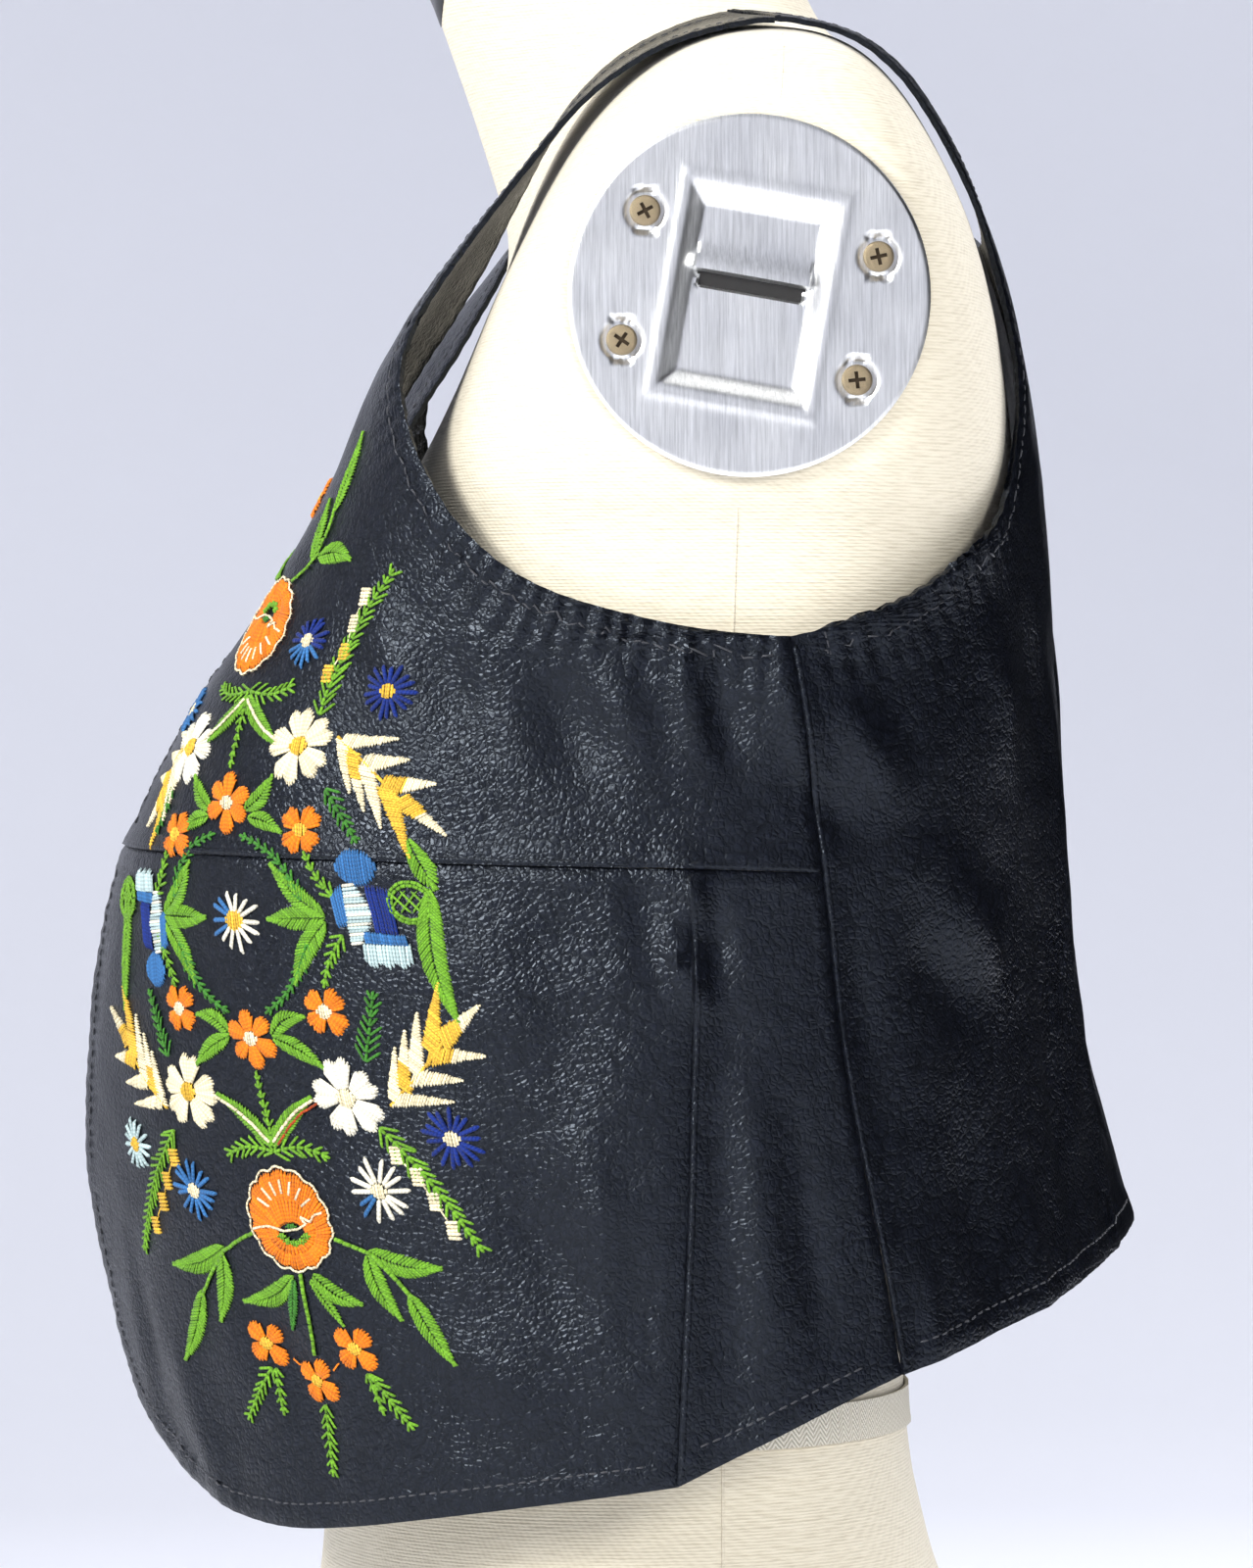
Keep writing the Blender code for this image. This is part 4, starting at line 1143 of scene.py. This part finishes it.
# Middle: daisy, three leaves each side, blue flowers, lattice buds and ribbon leaves
daisy(0, 0, 9.2, "white", "yellow", 14, "blue", (130, 225), 2.9)
for hand in (1, -1):
    leaf((31 * hand, 1.5), (16 * hand, 16.5), 6.6, 1.5 * hand)
    leaf((31 * hand, 1), (11.5 * hand, 0.5), 7.0)
    leaf((31 * hand, 0), (18.5 * hand, -18), 6.6, -1.5 * hand)
    fern((25 * hand, 6), (5 * hand, 24), 4.0, -4.0 * hand, colour="dark_green")
    fern((24 * hand, -6), (6.5 * hand, -26), 4.0, 3.0 * hand, colour="dark_green")
    fern((35 * hand, 7), (28 * hand, 20), 4.2, 1.0 * hand)
    fern((36 * hand, -4), (28 * hand, -19), 4.2, -1.0 * hand)
cornflower(lambda spot: spot)
cornflower(mirrored(0.88, 1.0, -1.0))
for hand in (1, -1):
    ring(58 * hand, 5.5, 6.6, 5.8, "green", 0, 0.5, 0.4)
    ring(58 * hand, 5.5, 5.7, 4.9, "green", 0, 0.5, 0.4)
    for cross in (-3.4, 0.0, 3.4):
        sew(((58 + cross) * hand - 3.4, 2.4), ((58 + cross) * hand + 2.6, 8.8), "green", 0.34, 0.4)
        sew(((58 + cross) * hand + 3.2, 2.4), ((58 + cross) * hand - 2.8, 8.8), "green", 0.34, 0.5)
leaf((60, 23), (66, 9), 7.4, 0.0, 1.3)
leaf((64, 9.5), (67, -28), 8.4, -3.0)
leaf((-59, 12), (-60, -27), 6.4, 1.5)

# Flowers in orange, with their leaves
flower(0, -33, 6, 8.8, "orange", "cream", 96)
flower(0, 33, 6, 8.8, "orange", "cream", 84)
for x, y in ((27, -25), (-27, -25), (27, 25.5), (-23, 24)):
    flower(x, y, 4, 7.8, "orange", "cream" if y < 0 else "yellow", 45, 31, 9, 0.14)
for x, y, turn in ((-21, -120, 38), (-6, -130, 52), (11, -120, 44)):
    flower(x, y, 4, 7.4, "orange", "yellow", turn, 29, 8, 0.0, 1.9)
for hand in (1, -1):
    leaf((7.5 * hand, -32), (20 * hand, -26.5), 5.4, 2.0 * hand)
    leaf((8 * hand, -32.5), (23 * hand, -41), 5.4, 1.0 * hand)
    leaf((7 * hand, 31), (17 * hand, 41), 5.6, -1.4 * hand)
    leaf((8 * hand, 29), (20.5 * hand, 24.5), 5.0, 1.0 * hand)

# White flowers on their forked stems
for x, y, centre in ((28, -49, "cream"), (-28, -49, "yellow"), (25, 49, "yellow"), (-23, 49, "yellow")):
    petals = "cream" if x * y > 0 else "white"
    flower(x, y, 5, 12.0, petals, centre, 100 if x > 0 else 80, 27, 13, 0.16, 2.7)
for hand in (1, -1):
    for level, up in ((-63.5, 1), (64, -1)):
        leaf((0, level), (16.5 * hand, level + 14.5 * up), 5.2, 1.0 * hand * up)
        cream = [(a * hand, level + b * up) for a, b in ((0.6, 1.0), (6, 6.6), (11, 10.5), (17, 13.5))]
        rope(cream, "cream", 0.5, 2.0, 0.8)
        if hand > 0 and up > 0:
            rope([(x + 1.4, y - 0.8) for x, y in cream], "rust", 0.4, 2.0, 0.75)
        fern((0, level - 1.5 * up), (18.5 * hand, level - 3.0 * up), 5.4, 2.0 * hand * up)
fern((0, -63), (0, -42), 3.2)
fern((0, 63), (0, 42.5), 3.2)

# Wheat ears
wheat(lambda spot: spot)
wheat(mirrored(0.96, -3.0))
wheat(lambda spot: (spot[0] - 4.0 + 0.03 * (spot[1] + 51), 1.0 - spot[1]))
wheat(lambda spot: (-0.68 * spot[0] + 3.0, 3.0 - spot[1]))

# Large orange flowers, with the sprays below the lower and above the upper one
carnation(0, -84, 1)
carnation(-7, 85, -1)
rope([(14, -89), (20, -91), (25, -93)], "green", 0.6)
leaf((24, -92), (45, -96.5), 6.8, -2.0)
leaf((23.5, -93), (28.5, -112), 6.6, -1.5)
rope([(25, -93), (30, -99), (34, -106)], "green", 0.65)
leaf((33, -104), (41, -124), 6.6, -1.0)
rope([(-14, -88), (-21, -91), (-28, -94)], "green", 0.6)
leaf((-28, -93), (-54, -99), 6.8, 2.0)
leaf((-29, -95), (-37, -115), 6.4, 1.0)
rope([(-28, -94), (-36, -101), (-43, -108)], "green", 0.65)
leaf((-42, -106), (-58, -127), 6.4, 1.0)
leaf((-3, -100), (-26, -108.5), 6.4, 2.2)
leaf((4, -99.5), (18, -107.5), 5.8, -2.0)
leaf((-3, -101), (-10, -116), 3.4, colour="dark_green")
leaf((3.0, -101), (9.5, -114), 3.4)
rope([(0, -99), (-1.5, -110), (-4, -123)], "green", 0.7)
fern((-22, -127), (-37, -143), 4.6)
fern((-20.5, -127), (-22, -141), 3.6)
fern((-6, -137), (-10, -158), 5.2)
fern((13, -127), (22, -143), 4.6)
fern((12.5, -127), (14, -139), 3.6)
rope([(-13.5, -124), (-11, -126)], "orange", 0.3)
rope([(1, -127), (4, -124.5)], "orange", 0.3)
rope([(1, 98), (7, 102), (12, 106)], "green", 0.55)
leaf((12, 105), (28, 104), 6.8, 1.6)
leaf((9, 104), (5, 123), 5.4, 0.8)
rope([(11, 106), (12, 113), (12, 120)], "green", 0.6)
leaf((12, 119), (14, 143), 5.4, -1.0)
flower(-16, 124, 4, 7.6, "orange", "yellow", 45, 31)
leaf((-14, 100), (-30, 108), 5.6, 1.0)

# Daisies, ferns and knots at the sides
daisy(57, -60, 8.8, "navy", "cream", 17)
daisy(32, -75, 9.4, "white", "cream", 14, "blue", (200, 245), 2.1)
daisy(-35, -77, 9.0, "blue", "cream", 15)
daisy(-61, -65, 8.2, "pale_blue", "yellow", 14)
daisy(19, 80, 7.8, "navy", "cream", 16, "blue", (190, 330))
daisy(51, 65, 8.6, "navy", "yellow", 17)
daisy(-40, 60, 7.6, "blue", "cream", 15)
fern((36.5, -39), (43, -19), 5.4, colour="dark_green")
fern((-36, -39), (-43.5, -20), 5.0, colour="dark_green")
fern((35, 37), (45, 21.5), 5.0, colour="dark_green")
fern((-30, 38), (-38, 24), 4.4, colour="dark_green")
fern((36, -57), (58, -92), 6.6, 1.5)
fern((-38, -60), (-71, -96), 6.2, -1.5)
fern((30, 58), (45, 101), 6.8, 2.0)
for line, colours in (
    (((39, -65), (44, -71), (47.5, -78), (51, -86)), ("cream", "cream", "cream", "cream")),
    (((-41, -68), (-47, -75), (-52, -81), (-59, -88)), ("yellow", "yellow", "yellow", "yellow")),
    (((37, 93), (35, 85), (34, 76.5), (30, 70)), ("cream", "cream", "yellow", "yellow")),
):
    rope(line, colours[0], 0.26, 3.0, 0.3)
    for spot, colour in zip(line, colours):
        knot(spot[0], spot[1], colour)

yarn, tree, shader = new_material("embroidery_yarn", 0.72, Sheen_Weight=0.08, Specular_IOR_Level=0.3)
dye = add_node(tree, "Attribute", attribute_name="dye")
lay = add_node(tree, "Attribute", attribute_name="lay")
parts = add_node(tree, "SeparateXYZ", lay.outputs["Vector"])
twist = add_node(tree, "Math", parts.outputs["Y"], 2 * math.pi, parts.outputs["X"],
                 operation="MULTIPLY_ADD")
strands = add_node(tree, "Math", twist.outputs["Value"], operation="SINE").outputs["Value"]
# Painted shade and highlight along the yarn's twist: the colour is darkened between the plies and lifted a
# little on them.
shade = add_node(tree, "MapRange", strands, From_Min=-1.0, To_Min=0.80, To_Max=1.06)
dye_with_ply_shade = add_node(tree, "VectorMath", dye.outputs["Color"], operation="SCALE", Scale=shade.outputs["Result"])
feed(shader.inputs["Base Color"], dye_with_ply_shade.outputs["Vector"])
bump(shader, strands, 0.00010, 0.7)


def between(table, value):
    """Two columns of a table, interpolated by its first."""
    for (v0, a0, b0), (v1, a1, b1) in zip(table, table[1:]):
        if value <= v1:
            part = (value - v0) / (v1 - v0)
            return a0 + (a1 - a0) * part, b0 + (b1 - b0) * part
    return table[-1][1:]


def chart_rows(side_name, side):
    """The front's surface in rows up the chart: places across, in millimetres, points and normals."""
    corners = []
    faces = []
    for panel in PANELS[:3]:
        mesh = skins["vest_{}_{}".format(panel, side_name)].data
        first = len(corners)
        corners.extend(vertex.co for vertex in mesh.vertices)
        faces.extend([first + number for number in face.vertices] for face in mesh.polygons)
    surface = BVHTree.FromPolygons(corners, faces)
    rows = []
    for up in range(FIRST_ROW, 157, ROW_STEP):
        z, middle = between(CHART_AXIS, up)
        hits = []
        for turn in range(0, 118):
            out = Vector((side * math.sin(math.radians(turn)), -math.cos(math.radians(turn)), 0.0))
            spot, normal, _, _ = surface.ray_cast(Vector((0.0, 0.03, z)) + out * 0.4, -out)
            if spot is not None:
                hits.append((turn, spot, normal))
        across = [0.0]
        for (_, a, _), (_, b, _) in zip(hits, hits[1:]):
            across.append(across[-1] + 1000 * (b - a).length)
        centre = between([(turn, s, 0.0) for (turn, _, _), s in zip(hits, across)], middle)[0]
        rows.append(([s - centre for s in across], [hit[1] for hit in hits], [hit[2] for hit in hits]))
    return rows


def on_leather(rows, across, up):
    """The point and normal of the front at a place on the chart."""
    level = min(max((up - FIRST_ROW) / ROW_STEP, 0.0), len(rows) - 1.001)
    found = []
    for places, points, normals in (rows[int(level)], rows[int(level) + 1]):
        number = min(max(bisect.bisect(places, across) - 1, 0), len(places) - 2)
        part = min(max((across - places[number]) / (places[number + 1] - places[number]), 0.0), 1.0)
        found.append([column[number].lerp(column[number + 1], part) for column in (points, normals)])
    part = level - int(level)
    return found[0][0].lerp(found[1][0], part), found[0][1].lerp(found[1][1], part).normalized()


TWIST = 0.0011
STRAND_SIDES = 4
MM = 0.001
for side_name, side in (("left", 1.0), ("right", -1.0)):
    rows = chart_rows(side_name, side)
    for colour, stitches in pattern.items():
        base = [(channel / 255) ** 2.2 for channel in YARN[colour]]
        paths = []
        dyes = []
        lays = []
        for a, b, radius, lift, tone in stitches:
            sway = noise.noise(Vector((a.x * 0.05, a.y * 0.05, side * 5.0)))
            shift = Vector((0.5 * sway, 0.5 * noise.noise(Vector((a.y * 0.05, side * 9.0, a.x * 0.05)))))
            bends = 1 + int((b - a).length / 4.5)
            parts = [0.0, 0.14] + [0.14 + 0.72 * step / bends for step in range(1, bends + 1)] + [1.0]
            path = []
            for part in parts:
                spot = a.lerp(b, part) + shift
                point, normal = on_leather(rows, spot.x, spot.y)
                rise = -0.0001 if part in (0.0, 1.0) else lift * MM
                path.append((point + normal * rise, normal))
            paths.append((path, radius * MM))
            walked = 0.0
            for (spot, _), (before, _) in zip(path, [path[0]] + path[:-1]):
                walked += (spot - before).length
                for number in range(STRAND_SIDES):
                    dyes.extend([channel * tone for channel in base] + [1.0])
                    lays.extend((2 * math.pi * walked / TWIST, number / STRAND_SIDES))
        piece = tube_mesh("yarn_{}_{}".format(colour, side_name), [path for path, _ in paths],
                          STRAND_SIDES, [size for _, size in paths], 0.45, 0.75)
        attribute = piece.data.color_attributes.new("dye", "FLOAT_COLOR", "POINT")
        attribute.data.foreach_set("color", dyes)
        attribute = piece.data.attributes.new("lay", "FLOAT2", "POINT")
        attribute.data.foreach_set("vector", lays)
        piece.data.materials.append(yarn)
        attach(piece, "root")


# Floor and backdrop: one smooth pale sweep all round, so that every view has a plain
# ground. Its outer face is clear, so a camera that stands outside it looks in. It isn't
# part of the object.
FLOOR_RADIUS = 1.9
BEND_RADIUS = 1.5
WALL_TOP = 4.5
sweep_points = [(0.001, 0.0, 0.0), (FLOOR_RADIUS, 0.0, 0.0)]
for step in range(1, 9):
    turn = math.radians(90.0 * step / 8)
    sweep_points.append(
        (FLOOR_RADIUS + BEND_RADIUS * math.sin(turn), 0.0, BEND_RADIUS - BEND_RADIUS * math.cos(turn)))
sweep_points.append((FLOOR_RADIUS + BEND_RADIUS, 0.0, WALL_TOP))
sweep = built("sweep", sweep_points, [], [(i, i + 1) for i in range(len(sweep_points) - 1)])
finish_with(sweep, "SCREW", steps=72, render_steps=72, angle=2 * math.pi, use_merge_vertices=True,
            merge_threshold=0.0001)
sweep.location.z = -0.0002
bpy.ops.object.transform_apply(location=True)
bpy.ops.object.shade_smooth()
paper, tree, shader = new_material(
    "backdrop_paper", 0.9, Base_Color=(0.86, 0.87, 0.92, 1.0), Specular_IOR_Level=0.1)
behind = add_node(tree, "NewGeometry").outputs["Backfacing"]
feed(shader.inputs["Alpha"], add_node(tree, "Math", 1.0, behind, operation="SUBTRACT").outputs["Value"])
sweep.data.materials.append(paper)


# Light: a soft box in front of the vest, one beside the camera, one from behind, a broad
# one overhead, and an even pale surround. The boxes that only fill aren't seen in
# reflections, and a black card behind the wearer keeps the surround off the leather's back.
def soft_box(name, place, target, size, energy, shines=True):
    """A square area light that faces a target."""
    data = bpy.data.lights.new(name, "AREA")
    data.shape = "SQUARE"
    data.size = size
    data.energy = energy
    lamp = shown(name, data)
    lamp.location = place
    lamp.rotation_euler = (Vector(target) - Vector(place)).to_track_quat("-Z", "Y").to_euler()
    lamp.visible_glossy = shines


soft_box("key", (1.25, -1.15, 1.15), (0.0, 0.0, 0.35), 0.5, 36.0)
soft_box("camera_side", (1.8, 0.9, 1.0), (0.0, 0.0, 0.4), 0.45, 19.0, shines=False)
soft_box("back", (-1.2, 1.2, 1.6), (0.0, 0.0, 0.3), 0.9, 24.0, shines=False)
soft_box("overhead", (0.1, -0.2, 2.3), (0.0, 0.0, 0.3), 1.2, 17.0)

CARD_RADIUS = 1.7
CARD_TURNS = (30, 165)
CARD_TOP = 2.4
card_points = []
for degrees in range(CARD_TURNS[0], CARD_TURNS[1] + 1, 5):
    turn = math.radians(degrees)
    for z in (0.0, CARD_TOP):
        card_points.append((CARD_RADIUS * math.cos(turn), CARD_RADIUS * math.sin(turn), z))
card_quads = [(n, n + 1, n + 3, n + 2) for n in range(0, len(card_points) - 2, 2)]
card = built("black_card", card_points, card_quads)
felt, _, _ = new_material(
    "black_felt", 1.0, Base_Color=(0.004, 0.004, 0.004, 1.0), Specular_IOR_Level=0.0)
card.data.materials.append(felt)
for ray in ("camera", "diffuse", "transmission", "shadow"):
    setattr(card, "visible_" + ray, False)
world = bpy.data.worlds.new("studio")
world.use_nodes = True
background = world.node_tree.nodes["Background"]
feed(background.inputs["Color"], (0.86, 0.89, 1.0, 1.0))
feed(background.inputs["Strength"], 0.30)
bpy.context.scene.world = world
bpy.context.scene.view_settings.view_transform = "Standard"


# Camera: level, square to the wearer's left side and with a long lens, as in the
# photograph.
camera_data = bpy.data.cameras.new("camera")
camera_data.lens = 173.7
camera_data.sensor_width = 36.0
camera = shown("camera", camera_data)
camera.location = (2.2, 0.0, 0.3895)
camera.rotation_euler = (math.radians(90.0), 0.0, math.radians(90.0))
bpy.context.scene.camera = camera
